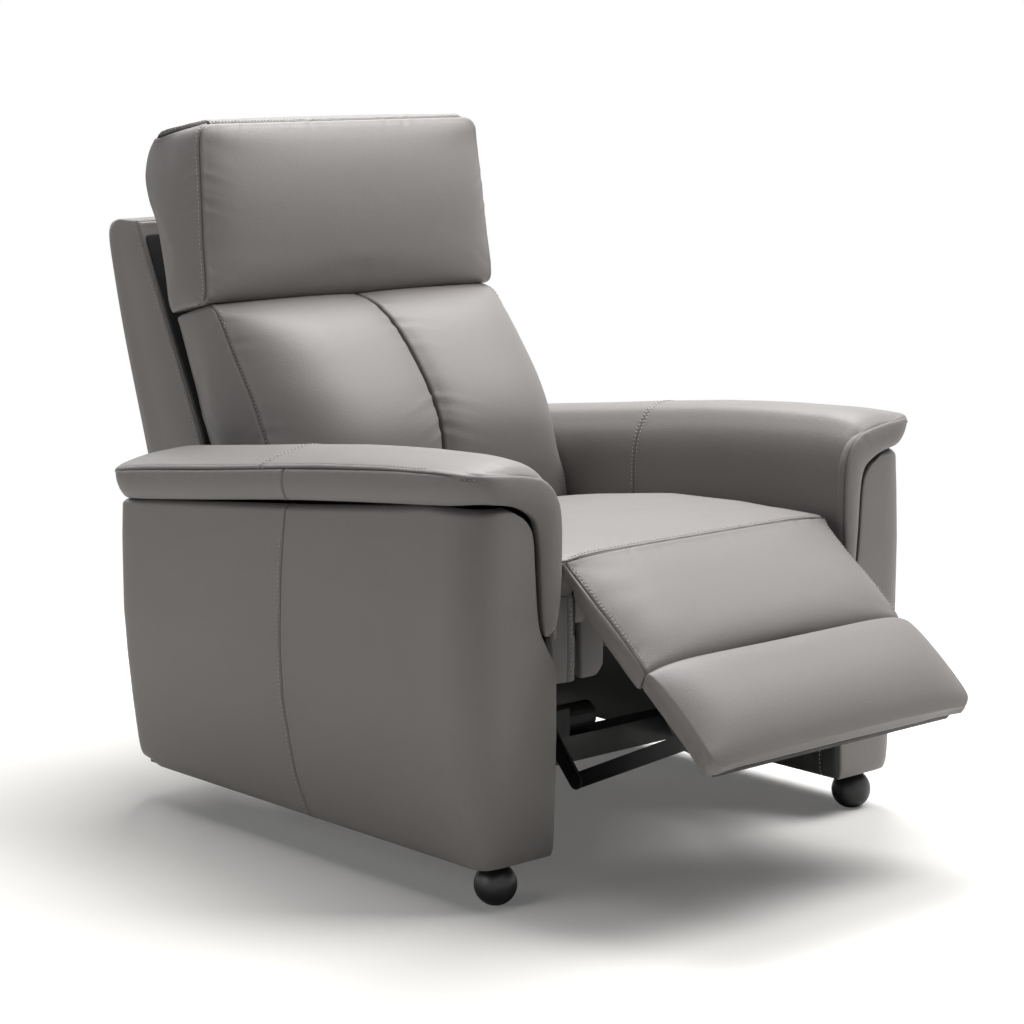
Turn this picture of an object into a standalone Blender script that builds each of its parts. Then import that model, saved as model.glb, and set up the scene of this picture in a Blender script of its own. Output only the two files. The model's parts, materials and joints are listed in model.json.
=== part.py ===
# Powered recliner chair with fixed arms on ball feet. Metres, +Z up, the chair faces -Y.
# Every outline here is written in the chair's own datum: X = 0 is the centre plane, Y = 0 is the
# line through the front feet (positive towards the back) and Z = 0 is the floor. One empty, the
# datum, then moves that frame so that the origin lies under the middle of the chair.
# Right and left are the sitter's: the right arm is at -X.

import math

import bmesh
import bpy
from mathutils import Vector

# Clearances
TOUCH = 0.0003  # between faces that rest on each other
PIN_PLAY = 0.0004  # radial, pin in its bore
SLIDE_PLAY = 0.0005  # bar in its channel, rod in its housing
PIVOT_PLAY = 0.0006  # radial, pin in the open pivot of the parallelogram
THROUGH = 0.020  # a cutter runs this far past the plate that it pierces
DATUM_TO_CENTRE = 0.357  # the chair's middle lies this far behind the front feet

# Arms
ARM_INNER_X = 0.2843  # padded inner face
ARM_CORNER_X = ARM_INNER_X + 0.0047  # inner edge of the front corner, below the liner
ARM_FRONT_Y = -0.040
ARM_REAR_Y = 0.766
ARM_BOTTOM_Z = 0.0575
ARM_TOP_FRONT_Z = 0.545  # top of the outer panel, at the front
ARM_TOP_REAR_Z = 0.466
FRAME_BOARD = 0.018  # thickness of the boards in the arm
LINER_THICKNESS = 0.0144
LINER_BOTTOM_Z = 0.360
STRIP_INNER_X = ARM_INNER_X - 0.0028  # the liner's front end shows as a strip
STRIP_OUTER_X = ARM_INNER_X + 0.0177
CAP_SIDE = 0.046  # height of the cap's side
CAP_CROWN = 0.026
CAP_FRONT_CROWN = 0.016  # the cap is flatter at its front
CAP_FLAT_END_Y = 0.200
CAP_ROLL = 0.055  # width of the roll from the inner face to the top
CAP_OUTER_X = 0.444
REAR_FOAM = 0.020  # padding behind the frame board
SILL_OUTER_X = 0.400
SILL_FRONT_Y = -0.025

# Feet
FOOT_X = 0.360
REAR_FOOT_X = 0.165  # the rear feet stand under the middle of the rear rail's depth
FOOT_RADIUS = 0.0295
FOOT_CENTRE_Z = 0.0275
FOOT_NECK_RADIUS = 0.012
STUD_RADIUS = 0.004

# Base rails and glides
RAIL_SIZE = 0.040
RAIL_BOTTOM_Z = 0.075
RAIL_WALL = 0.0025
FRONT_RAIL_Y = 0.265
REAR_RAIL_Y = 0.620
CHANNEL_Z = 0.255  # mid height of the glides
CHANNEL_HEIGHT = 0.040
CHANNEL_WALL = 0.003
CHANNEL_BACK = 0.005
CHANNEL_DEPTH = 0.0267
CHANNEL_FRONT_Y = 0.045
CHANNEL_REAR_Y = 0.600
GLIDE_FRONT_Y = 0.100
GLIDE_REAR_Y = 0.580

# Seat
PLATE_X = ARM_INNER_X - 0.0583  # inner face of the seat's side plates
PLATE = 0.004  # thickness of every steel plate in the mechanism
SEAT_PLAY = 0.0053  # between the seat's cushion and the arms
SEAT_HALF_WIDTH = ARM_INNER_X - SEAT_PLAY
SEAT_FRONT_Y = -0.013
SEAT_REAR_Y = 0.522
SEAT_TOP_Z = 0.457  # at the front seam
SEAT_CROWN = 0.018
DECK_FRONT_Y = 0.022
DECK_FRONT_Z = 0.3707  # underside at its front edge
DECK_SLOPE = math.tan(math.radians(3.3))
DECK_THICKNESS = 0.010
DECK_PLAY = 0.004  # between the deck and the side plates
CROSS_TUBE = 0.030
CROSS_WALL = 0.002
FRONT_CROSS_Y = 0.0083
REAR_CROSS_Y = 0.495
REAR_CROSS_TOP_Z = 0.340
WING_INNER_X = 0.166
WING_WIDTH = 0.0425
WING_BOTTOM_Z = 0.285
WING_THICKNESS = 0.014

# Leg rest and its parallelogram
HINGE_Y = -0.035
HINGE_Z = 0.436
LEG_SLOPE = math.radians(39.6)  # of the leg rest below level, in the photographed pose
LINK_X = PLATE_X - 2 * PLATE  # inner face of the brackets and cranks
COUPLER_X = LINK_X - PLATE - 0.002
LOWER_PIN_ALONG = 0.262  # the bracket's lower pin, along the leg rest
LOWER_PIN_DROP = 0.038  # and under it
CRANK_BACK = 0.2047  # the torque tube lies this far behind the hinge
CRANK_DROP = 0.0937  # and this far below it
PAD_HALF_WIDTH = 0.250
PAD_UNDERSIDE = 0.0097  # below the hinge line, square to the leg rest
PAD_LENGTH = 0.175  # from the hinge to the groove
LOWER_PAD_LENGTH = 0.176
PAD_GROOVE = 0.004
PAD_TOP = 0.0225
LIP_INNER = 0.0115  # the upper pad wraps over the hinge
LIP_OUTER = 0.0210
BOARD = 0.0083
BOARD_HALF_WIDTH = PAD_HALF_WIDTH - 0.015
BOARD_START = 0.030
BOARD_SETBACK = 0.020  # the board ends this far short of the lower pad
HINGE_PIN_RADIUS = 0.005
LINK_PIN_RADIUS = 0.005
TUBE_RADIUS = 0.011
JOURNAL_RADIUS = 0.008
EYE_MARGIN = 0.007  # metal round a bore
PIN_END = 0.002  # a pin stands this far out of the link that turns on it

# Leg rest actuator
LEVER_LENGTH = 0.055
LEVER_LEAD = math.radians(8.2)  # the lever stands this far past plumb in the photographed pose
LEVER_PIN_RADIUS = 0.004
YOKE_PLAY = 0.002
YOKE_WALL = 0.007
ROD_RADIUS = 0.007
ROD_Z = 0.290
LEG_HOUSING_FRONT_Y = 0.226
LEG_HOUSING_REAR_Y = 0.400
ACTUATOR_SIZE = 0.044
GEARBOX_LENGTH = 0.060
MOTOR_RADIUS = 0.021
MOTOR_LENGTH = 0.062

# Recline actuator
RECLINE_HOUSING_FRONT_Y = 0.262
RECLINE_HOUSING_REAR_Y = 0.430
RECLINE_BORE_FRONT_Y = 0.285
RECLINE_ROD_FRONT_Y = 0.345
LUG_Y = 0.500
LUG_THICKNESS = 0.020

# Back
BACK_PIVOT_Y = 0.610
BACK_PIVOT_Z = 0.335
BACK_LEVER = 0.100  # from the pivot down to the pin that pushes the seat
BACK_LEVER_LEAD = math.radians(15)  # half of the recline range
BACK_PIN_RADIUS = 0.005
BRACKET_X = PLATE_X + PLATE + 0.006
FLANGE = 0.008
BACK_LINE_Y = 0.775  # the back board's front face passes here
BACK_LINE_Z = 0.538
BACK_LEAN = 0.3357  # metres rearward for each metre up
BACK_BOARD = 0.016
BACK_BOARD_HALF_WIDTH = BRACKET_X - 0.0005
BACK_BOARD_BOTTOM_Z = 0.385
BACK_BOARD_TOP_Z = 0.800
BACK_PLAY = 0.0033  # between the back's cushion and the arms
BACK_HALF_WIDTH = ARM_INNER_X - BACK_PLAY
BACK_BOTTOM_Z = 0.375  # underside of the back's cushion
SHELL_HALF_WIDTH = BACK_HALF_WIDTH - 0.009
SHELL_BOTTOM_Z = 0.240
SHELL_TOP_Z = 0.866

# Headrest
HEAD_HINGE_Y = 0.755
HEAD_HINGE_Z = 0.7500
HEAD_SLOPE = 0.31  # its underside falls towards the rear
HEAD_HALF_WIDTH = 0.286
HEAD_TOP_HALF_WIDTH = 0.272
HEAD_CROWN = 0.022
HEAD_ROD_RADIUS = 0.004
LEAF = 0.0022
LEAF_HALF_WIDTH = 0.200

# Switch and control box
SWITCH_Y = 0.120
SWITCH_Z = 0.512
SWITCH_LENGTH = 0.074
SWITCH_HEIGHT = 0.028
SWITCH_PLATE = 0.004
BUTTON_RADIUS = 0.009
BUTTON_PITCH = 0.032
BUTTON_PROUD = 0.0025
BUTTON_LENGTH = 0.011
BUTTON_POCKET = 0.0085
BOX_X = 0.070  # the box's inner end
BOX_WIDTH = 0.100
BOX_HEIGHT = 0.038
INLET_RADIUS = 0.0055
INLET_DEPTH = 0.012

SIDES = (("right", -1), ("left", 1))


# Scene and materials


def clear_scene():
    for obj in list(bpy.context.scene.objects):
        bpy.data.objects.remove(obj, do_unlink=True)


def make_material(name, colour, roughness, metallic=0.0):
    material = bpy.data.materials.new(name)
    material.use_nodes = True
    shader = material.node_tree.nodes["Principled BSDF"]
    shader.inputs["Base Color"].default_value = (*colour, 1.0)
    shader.inputs["Roughness"].default_value = roughness
    shader.inputs["Metallic"].default_value = metallic
    material.diffuse_color = (*colour, 1.0)
    return material


def make_empty(name, parent=None, location=(0, 0, 0), turn_x=0.0):
    empty = bpy.data.objects.new(name, None)
    bpy.context.scene.collection.objects.link(empty)
    empty.parent = parent
    empty.location = location
    empty.rotation_euler.x = turn_x
    return empty


# Mesh helpers


def finish_mesh(name, mesh_data, frame, material, smooth_angle=None):
    """Give a bmesh a name, a material and a place. A frame is a pair: its empty, and the datum
    point that its local coordinates start from."""
    bmesh.ops.remove_doubles(mesh_data, verts=mesh_data.verts, dist=1e-6)
    bmesh.ops.recalc_face_normals(mesh_data, faces=mesh_data.faces)
    mesh = bpy.data.meshes.new(name)
    mesh_data.to_mesh(mesh)
    mesh_data.free()
    obj = bpy.data.objects.new(name, mesh)
    bpy.context.scene.collection.objects.link(obj)
    parent, start = frame
    obj.parent = parent
    obj.location = -Vector(start)
    if material:
        mesh.materials.append(material)
    if smooth_angle is not None:
        mesh.shade_smooth()
        mesh.set_sharp_from_angle(angle=math.radians(smooth_angle))
    return obj


def loft(name, rings, frame, material, smooth_angle=None):
    """Skin a row of closed rings of equally many points, and close both ends."""
    data = bmesh.new()
    rows = [[data.verts.new(point) for point in ring] for ring in rings]
    count = len(rows[0])
    for low, high in zip(rows, rows[1:]):
        for i in range(count):
            j = (i + 1) % count
            data.faces.new((low[i], low[j], high[j], high[i]))
    data.faces.new(list(reversed(rows[0])))
    data.faces.new(rows[-1])
    return finish_mesh(name, data, frame, material, smooth_angle)


def prism_x(name, outline, x_range, frame, material):
    """Extrude an outline of (y, z) points along X."""
    low, high = sorted(x_range)
    rings = [[(x, y, z) for y, z in outline] for x in (low, high)]
    return loft(name, rings, frame, material)


def prism_y(name, outline, y_range, frame, material):
    """Extrude an outline of (x, z) points along Y."""
    rings = [[(x, y, z) for x, z in outline] for y in y_range]
    return loft(name, rings, frame, material)


def block(name, x_range, y_range, z_range, frame, material):
    (y0, y1), (z0, z1) = y_range, z_range
    return prism_x(name, [(y0, z0), (y1, z0), (y1, z1), (y0, z1)], x_range, frame, material)


def turned(name, profile, centre, axis, frame, material, sides=20):
    """Turn a profile of (along, radius) points about an axis through the centre."""
    along = "XYZ".index(axis)
    across = [i for i in range(3) if i != along]
    rings = []
    for distance, radius in profile:
        ring = []
        for i in range(sides):
            angle = 2 * math.pi * i / sides
            point = list(centre)
            point[along] += distance
            point[across[0]] += radius * math.cos(angle)
            point[across[1]] += radius * math.sin(angle)
            ring.append(point)
        rings.append(ring)
    return loft(name, rings, frame, material, smooth_angle=35)


def bore(name, radius, centre, frame, sides=16):
    """A round cutter along X, long enough to pass through a plate at its centre."""
    return turned(name, [(-THROUGH, radius), (THROUGH, radius)], centre, "X", frame, None, sides)


def apply_boolean(target, other, operation):
    modifier = target.modifiers.new(other.name, "BOOLEAN")
    modifier.operation = operation
    modifier.solver = "EXACT"
    modifier.object = other
    other.hide_render = True
    other.display_type = "WIRE"


def cut(target, *cutters):
    for cutter in cutters:
        apply_boolean(target, cutter, "DIFFERENCE")


def join(target, *others):
    for other in others:
        apply_boolean(target, other, "UNION")


def arc(centre, radius, start, end, count):
    """Points on an arc in the (y, z) plane, angles in degrees from +Y towards +Z."""
    points = []
    for i in range(count):
        angle = math.radians(start + (end - start) * i / (count - 1))
        y = centre[0] + radius * math.cos(angle)
        z = centre[1] + radius * math.sin(angle)
        points.append((y, z))
    return points


def between(table, value):
    """Read a value from a short table of (key, value) pairs, straight between its rows."""
    for (k0, v0), (k1, v1) in zip(table, table[1:]):
        if value <= k1:
            share = max(0.0, (value - k0) / (k1 - k0))
            return v0 + (v1 - v0) * share
    return table[-1][1]


# Padded pieces

TOP_POINTS = (1.0, 0.975, 0.92, 0.82, 0.62, 0.38, 0.20, 0.09, 0.0)


def pad_ring(base, top, half_width, crown, sewn=0.0, pinch=0.0, fullness=2.6):
    """One cross-section of a pad. Base and top are (y, z) points in the pad's plane of symmetry:
    the base side lies flat, and the top side is crowned between its edges. Sewn is the depth of
    a channel down the middle, and pinch pulls the sides in between their edges. Fullness is how
    far the crown keeps its height towards the edges."""
    span = Vector((0, top[0] - base[0], top[1] - base[1]))
    lift = span.normalized()
    start = Vector((0, base[0], base[1]))
    points = []
    for share, width in ((0.0, -0.96), (0.0, 0.0), (0.0, 0.96), (0.16, 1.0), (0.5, 1.0), (0.86, 1.0)):
        across = width * half_width
        if share == 0.5:
            across -= pinch
        points.append(start + span * share + Vector((across, 0, 0)))
    fractions = [*TOP_POINTS, *(-f for f in reversed(TOP_POINTS[:-1]))]
    for fraction in fractions:
        across = fraction * (half_width - 0.004)
        dome = crown * (1 - abs(fraction) ** fullness)
        groove = sewn * math.exp(-((across / 0.020) ** 2))
        points.append(start + span + lift * (dome - groove) + Vector((across, 0, 0)))
    for share in (0.86, 0.5, 0.16):
        across = -half_width
        if share == 0.5:
            across += pinch
        points.append(start + span * share + Vector((across, 0, 0)))
    return points


def pad(name, stations, frame, material):
    """Loft a pad from stations of (base, top, half width, crown, sewn depth, pinch, fullness)."""
    return loft(name, [pad_ring(*station) for station in stations], frame, material, smooth_angle=50)


# Frames: the datum, and one for each body that moves


def make_frames():
    root = make_empty("chair_datum", None, (0, -DATUM_TO_CENTRE, 0))
    frames = {"base": (root, (0, 0, 0))}
    seat = make_empty("seat_glide", root)
    frames["seat"] = (seat, (0, 0, 0))
    hinge = (0, HINGE_Y, HINGE_Z)
    frames["leg_rest"] = (make_empty("leg_rest_hinge", seat, hinge, LEG_SLOPE), (0, 0, 0))
    frames["crank"] = (make_empty("torque_tube_axis", seat, tube_centre()), tube_centre())
    frames["coupler"] = (make_empty("coupler_axis", seat, crank_pin()), crank_pin())
    frames["leg_rod"] = (make_empty("leg_rod_slide", seat), (0, 0, 0))
    back = (0, BACK_PIVOT_Y, BACK_PIVOT_Z)
    frames["back"] = (make_empty("back_pivot", root, back), back)
    head = (0, HEAD_HINGE_Y, HEAD_HINGE_Z)
    head_empty = make_empty("headrest_hinge", frames["back"][0], Vector(head) - Vector(back))
    frames["headrest"] = (head_empty, head)
    return frames


def lower_pin():
    """The bracket's lower pin in the datum, from its place along and under the leg rest."""
    along, drop = LOWER_PIN_ALONG, LOWER_PIN_DROP
    y = HINGE_Y - along * math.cos(LEG_SLOPE) + drop * math.sin(LEG_SLOPE)
    z = HINGE_Z - along * math.sin(LEG_SLOPE) - drop * math.cos(LEG_SLOPE)
    return (0, y, z)


def crank_pin():
    """The fourth corner of the parallelogram: hinge, torque tube, lower pin and crank pin."""
    _, y, z = lower_pin()
    return (0, y + CRANK_BACK, z - CRANK_DROP)


def tube_centre():
    return (0, HINGE_Y + CRANK_BACK, HINGE_Z - CRANK_DROP)


def back_line(z):
    """Y of the back board's front face at a height."""
    return BACK_LINE_Y + (z - BACK_LINE_Z) * BACK_LEAN


# Arms


def panel_top(y):
    """Top of the outer panel, which falls towards the rear."""
    return ARM_TOP_FRONT_Z + (ARM_TOP_REAR_Z - ARM_TOP_FRONT_Z) * y / ARM_REAR_Y


PANEL_BULGE = ((0.0575, 0.403), (0.075, 0.412), (0.10, 0.419), (0.16, 0.4275), (0.23, 0.435),
               (0.30, 0.4395), (0.40, 0.4395), (0.46, 0.4365), (0.51, 0.433), (0.55, 0.428))
PANEL_LEVELS = (0.0, 0.05, 0.12, 0.25, 0.42, 0.60, 0.76, 0.90, 1.0)


def panel_ring(sign, y, inset, lift):
    bottom = ARM_BOTTOM_Z + lift
    top = panel_top(y) - inset * 0.4
    ring = [(sign * (ARM_CORNER_X + inset * 0.4), y, bottom)]
    for level in PANEL_LEVELS:
        z = bottom + (top - bottom) * level
        edge = 0.006 if level in (0.0, 1.0) else 0.0
        ring.append((sign * (between(PANEL_BULGE, z) - inset - edge), y, z))
    ring.append((sign * (ARM_CORNER_X + inset * 0.4), y, top))
    return ring


def make_arm_panel(side, sign, frames, leather):
    front, rear = ARM_FRONT_Y, ARM_REAR_Y
    ends = [(front, 0.012, 0.004), (front + 0.003, 0.005, 0.001), (front + 0.010, 0.0015, 0.0)]
    middle = [(front + 0.025, 0.0, 0.0)]
    middle += [(front + (rear - front) * share, 0.0, 0.0) for share in (0.27, 0.5, 0.74)]
    tail = [(rear - 0.045, 0.0, 0.0), (rear - 0.020, 0.002, 0.006), (rear - 0.006, 0.008, 0.018),
            (rear, 0.016, 0.036)]
    rings = [panel_ring(sign, *station) for station in ends + middle + tail]
    panel = loft(f"arm_panel_{side}", rings, frames["base"], leather, smooth_angle=50)
    board_x = ARM_INNER_X + LINER_THICKNESS + FRAME_BOARD + 2 * TOUCH
    rear_y = rear - REAR_FOAM + TOUCH
    open_side = ARM_INNER_X - THROUGH
    above, below = ARM_TOP_FRONT_Z + THROUGH, ARM_BOTTOM_Z - THROUGH
    board_space = block(f"arm_board_space_{side}", (sign * open_side, sign * board_x),
                        (-TOUCH, rear_y), (below, above), frames["base"], None)
    sill_space = block(f"arm_sill_space_{side}", (sign * open_side, sign * (SILL_OUTER_X + TOUCH)),
                       (SILL_FRONT_Y - TOUCH, rear_y), (below, ARM_BOTTOM_Z + FRAME_BOARD + TOUCH),
                       frames["base"], None)
    strip_space = block(f"arm_strip_space_{side}", (sign * open_side, sign * (STRIP_OUTER_X + TOUCH)),
                        (front - THROUGH, 0.0), (LINER_BOTTOM_Z - TOUCH, above), frames["base"], None)
    cut(panel, board_space, sill_space, strip_space)


def stud_hole(name, place, frames):
    """Cutter for the hole that takes a foot's stud, from the underside of a board upwards."""
    profile = [(-THROUGH, STUD_RADIUS + PIN_PLAY), (FRAME_BOARD + 0.002, STUD_RADIUS + PIN_PLAY)]
    return turned(name, profile, place, "Z", frames["base"], None, 16)


def make_arm_frame(side, sign, frames, wood):
    """An upright board with a sill along its foot that takes the front foot."""
    inner = ARM_INNER_X + LINER_THICKNESS + TOUCH
    outer = inner + FRAME_BOARD
    rear = ARM_REAR_Y - REAR_FOAM
    outline = [(0, ARM_BOTTOM_Z), (rear, ARM_BOTTOM_Z)]
    outline += [(rear, panel_top(rear) - TOUCH), (0, panel_top(0) - TOUCH)]
    board = prism_x(f"arm_frame_{side}", outline, (sign * inner, sign * outer), frames["base"], wood)
    sill = block(f"arm_sill_{side}", (sign * inner, sign * SILL_OUTER_X), (SILL_FRONT_Y, rear),
                 (ARM_BOTTOM_Z, ARM_BOTTOM_Z + FRAME_BOARD), frames["base"], None)
    join(board, sill)
    cut(board, stud_hole(f"stud_hole_front_{side}", (sign * FOOT_X, 0, ARM_BOTTOM_Z), frames))


def liner_ring(sign, y, inner, outer, lift):
    bottom = LINER_BOTTOM_Z + lift
    top = panel_top(y) - TOUCH
    middle = (bottom + top) / 2
    points = [(inner + 0.003, bottom), (outer, bottom), (outer, middle), (outer, top)]
    points += [(inner, top), (inner, middle), (inner, bottom + 0.006)]
    return [(sign * x, y, z) for x, z in points]


def make_arm_liner(side, sign, frames, leather):
    """The padded inner face. Its front end is thicker and shows as a strip beside the panel."""
    outer = ARM_INNER_X + LINER_THICKNESS
    front = ARM_FRONT_Y - 0.004
    stations = [(front, STRIP_INNER_X + 0.005, STRIP_OUTER_X - 0.004, 0.008),
                (front + 0.003, STRIP_INNER_X + 0.001, STRIP_OUTER_X, 0.003),
                (front + 0.012, STRIP_INNER_X, STRIP_OUTER_X, 0.0),
                (-0.0012, STRIP_INNER_X, STRIP_OUTER_X, 0.0),
                (-0.0004, ARM_INNER_X, outer, 0.0), (ARM_REAR_Y / 2, ARM_INNER_X, outer, 0.0),
                (ARM_REAR_Y - REAR_FOAM, ARM_INNER_X, outer, 0.0)]
    rings = [liner_ring(sign, *station) for station in stations]
    return loft(f"arm_liner_{side}", rings, frames["base"], leather)


def cap_ring(sign, y, inset, drop):
    """Cross-section of the arm's cap: upright sides with a crowned top between them."""
    bottom = panel_top(y) + TOUCH
    shoulder = bottom + CAP_SIDE - drop
    crown = between(((ARM_FRONT_Y, CAP_FRONT_CROWN), (CAP_FLAT_END_Y, CAP_CROWN)), y) - drop * 0.5
    inner, outer = ARM_INNER_X + inset, CAP_OUTER_X - inset
    top_start = inner + CAP_ROLL
    ring = [(inner, bottom), (outer - 0.010, bottom), (outer - 0.001, bottom + 0.006)]
    ring += [(outer, shoulder - 0.010), (outer - 0.003, shoulder)]
    for share in (0.16, 0.38, 0.68, 1.0):
        dome = crown * (1 - (1 - share) ** 2.4)
        ring.append((outer + (top_start - outer) * share, shoulder + dome))
    for angle in (66, 46, 28, 12):
        turn = math.radians(angle)
        across = CAP_ROLL * (1 - math.cos(turn))
        ring.append((inner + across, bottom + (shoulder + crown - bottom) * math.sin(turn)))
    return [(sign * x, y, z) for x, z in ring]


def make_arm_cap(side, sign, frames, leather):
    front, rear = ARM_FRONT_Y - 0.010, ARM_REAR_Y + 0.016
    stations = [(front, 0.030, 0.022), (front + 0.004, 0.018, 0.012), (front + 0.012, 0.008, 0.005),
                (front + 0.030, 0.0, 0.0)]
    stations += [(front + (rear - front) * share, 0.0, 0.0) for share in (0.18, 0.31, 0.56, 0.78)]
    stations += [(rear - 0.035, 0.0, 0.0), (rear - 0.012, 0.006, 0.005),
                 (rear - 0.003, 0.014, 0.014), (rear, 0.024, 0.022)]
    rings = [cap_ring(sign, *station) for station in stations]
    loft(f"arm_cap_{side}", rings, frames["base"], leather, smooth_angle=50)


def make_foot(name, x, y, underside, frames, plastic):
    """A ball with a small flat below, a neck above and the stud that screws into the frame."""
    profile = []
    low = math.asin(FOOT_CENTRE_Z / FOOT_RADIUS)
    high = math.acos(FOOT_NECK_RADIUS / FOOT_RADIUS)
    for i in range(11):
        angle = -low + (low + high) * i / 10
        height = 0.0 if i == 0 else FOOT_CENTRE_Z + FOOT_RADIUS * math.sin(angle)
        profile.append((height, FOOT_RADIUS * math.cos(angle)))
    top = underside - TOUCH
    profile += [(top, FOOT_NECK_RADIUS), (top, STUD_RADIUS)]
    profile += [(underside + FRAME_BOARD - 0.001, STUD_RADIUS)]
    turned(name, profile, (x, y, 0), "Z", frames["base"], plastic, 24)


# Base


def make_base_rail(name, y, frames, steel):
    """A square tube from one arm's board to the other's."""
    reach = ARM_INNER_X + LINER_THICKNESS
    top = RAIL_BOTTOM_Z + RAIL_SIZE
    rail = block(name, (-reach, reach), (y, y + RAIL_SIZE), (RAIL_BOTTOM_Z, top), frames["base"], steel)
    bore = block(f"{name}_bore", (-reach - THROUGH, reach + THROUGH),
                 (y + RAIL_WALL, y + RAIL_SIZE - RAIL_WALL), (RAIL_BOTTOM_Z + RAIL_WALL, top - RAIL_WALL),
                 frames["base"], None)
    cut(rail, bore)
    return rail


def make_base(frames, steel):
    make_base_rail("base_rail_front", FRONT_RAIL_Y, frames, steel)
    rear_rail = make_base_rail("base_rail_rear", REAR_RAIL_Y, frames, steel)
    for side, sign in SIDES:
        place = (sign * REAR_FOOT_X, REAR_RAIL_Y + RAIL_SIZE / 2, RAIL_BOTTOM_Z)
        cut(rear_rail, stud_hole(f"stud_hole_rear_{side}", place, frames))
    reach = ARM_INNER_X + LINER_THICKNESS
    low, high = CHANNEL_Z - CHANNEL_HEIGHT / 2, CHANNEL_Z + CHANNEL_HEIGHT / 2
    mouth, back = reach - CHANNEL_DEPTH, reach - CHANNEL_BACK
    for side, sign in SIDES:
        outline = [(reach, low), (reach, high), (mouth, high), (mouth, high - CHANNEL_WALL)]
        outline += [(back, high - CHANNEL_WALL), (back, low + CHANNEL_WALL)]
        outline += [(mouth, low + CHANNEL_WALL), (mouth, low)]
        outline = [(sign * x, z) for x, z in outline]
        prism_y(f"glide_channel_{side}", outline, (CHANNEL_FRONT_Y, CHANNEL_REAR_Y), frames["base"], steel)


# Seat


def deck_underside(y):
    return DECK_FRONT_Z - (y - DECK_FRONT_Y) * DECK_SLOPE


def side_plate_outline():
    """The seat's side plate: a neck up to the leg rest hinge, the torque tube's bearing, the
    glide along its foot and a rear lobe with the slot for the back's lever."""
    radius = HINGE_PIN_RADIUS + 0.004
    neck_front = SEAT_FRONT_Y + 0.001
    pin_y = back_lever_pin()[0]
    foot = CHANNEL_Z - CHANNEL_HEIGHT / 2 + CHANNEL_WALL + SLIDE_PLAY
    points = [(neck_front, HINGE_Z - radius)]
    points += arc((HINGE_Y, HINGE_Z), radius, 270, 90, 9)
    points += [(HINGE_Y + 0.016, HINGE_Z + 0.004), (DECK_FRONT_Y - 0.006, HINGE_Z - 0.002)]
    points += [(DECK_FRONT_Y - 0.004, DECK_FRONT_Z - 0.010)]
    rear_top = (pin_y - 0.020, deck_underside(SEAT_REAR_Y) - 0.030)
    points += [(SEAT_REAR_Y, deck_underside(SEAT_REAR_Y) - 0.010), rear_top]
    points += [(pin_y + 0.018, CHANNEL_Z + 0.010), (pin_y + 0.018, foot - 0.026)]
    points += [(pin_y - 0.018, foot - 0.026), (pin_y - 0.050, foot)]
    tube_y = tube_centre()[1]
    points += [(tube_y - 0.060, foot), (tube_y - 0.030, tube_centre()[2] - 0.030)]
    points += [(neck_front + 0.040, DECK_FRONT_Z - 0.040), (neck_front, DECK_FRONT_Z - 0.020)]
    return points


def back_lever_pin():
    """(y, z) of the pin at the lower end of the back's lever, in the photographed pose."""
    y = BACK_PIVOT_Y + BACK_LEVER * math.sin(BACK_LEVER_LEAD)
    z = BACK_PIVOT_Z - BACK_LEVER * math.cos(BACK_LEVER_LEAD)
    return y, z


def make_side_plate(side, sign, frames, steel):
    reach = (sign * PLATE_X, sign * (PLATE_X + PLATE))
    plate = prism_x(f"seat_side_plate_{side}", side_plate_outline(), reach, frames["seat"], steel)
    holes = (("hinge", (HINGE_Y, HINGE_Z), HINGE_PIN_RADIUS + PIN_PLAY),
             ("journal", tube_centre()[1:], JOURNAL_RADIUS + PIN_PLAY))
    for label, (y, z), radius in holes:
        cut(plate, bore(f"{label}_bore_{side}", radius, (sign * PLATE_X, y, z), frames["seat"]))
    pin_y, pin_z = back_lever_pin()
    half = BACK_PIN_RADIUS + PIVOT_PLAY
    rise = BACK_LEVER * (1 - math.cos(BACK_LEVER_LEAD))
    slot_outline = arc((pin_y, pin_z), half, 0, 180, 9)
    slot_outline += arc((pin_y, pin_z - rise), half, 180, 360, 9)
    through = (sign * (PLATE_X - THROUGH), sign * (PLATE_X + THROUGH))
    cut(plate, prism_x(f"lever_slot_{side}", slot_outline, through, frames["seat"], None))


def make_glide_bar(side, sign, frames, steel):
    reach = ARM_INNER_X + LINER_THICKNESS - CHANNEL_BACK - SLIDE_PLAY
    half = CHANNEL_HEIGHT / 2 - CHANNEL_WALL - SLIDE_PLAY
    block(f"seat_glide_bar_{side}", (sign * (PLATE_X + PLATE + TOUCH), sign * reach),
          (GLIDE_FRONT_Y, GLIDE_REAR_Y), (CHANNEL_Z - half, CHANNEL_Z + half), frames["seat"], steel)


def make_cross_tube(name, y, top, frames, steel):
    reach = PLATE_X - TOUCH
    low = top - CROSS_TUBE
    tube = block(name, (-reach, reach), (y, y + CROSS_TUBE), (low, top), frames["seat"], steel)
    y_range = (y + CROSS_WALL, y + CROSS_TUBE - CROSS_WALL)
    z_range = (low + CROSS_WALL, top - CROSS_WALL)
    past = reach + THROUGH
    cut(tube, block(f"{name}_bore", (-past, past), y_range, z_range, frames["seat"], None))


def make_deck(frames, wood):
    front, rear = DECK_FRONT_Y, SEAT_REAR_Y - 0.004
    low_front, low_rear = deck_underside(front), deck_underside(rear)
    outline = [(front, low_front), (rear, low_rear)]
    outline += [(rear, low_rear + DECK_THICKNESS), (front, low_front + DECK_THICKNESS)]
    reach = PLATE_X - DECK_PLAY
    prism_x("seat_deck", outline, (-reach, reach), frames["seat"], wood)


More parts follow.
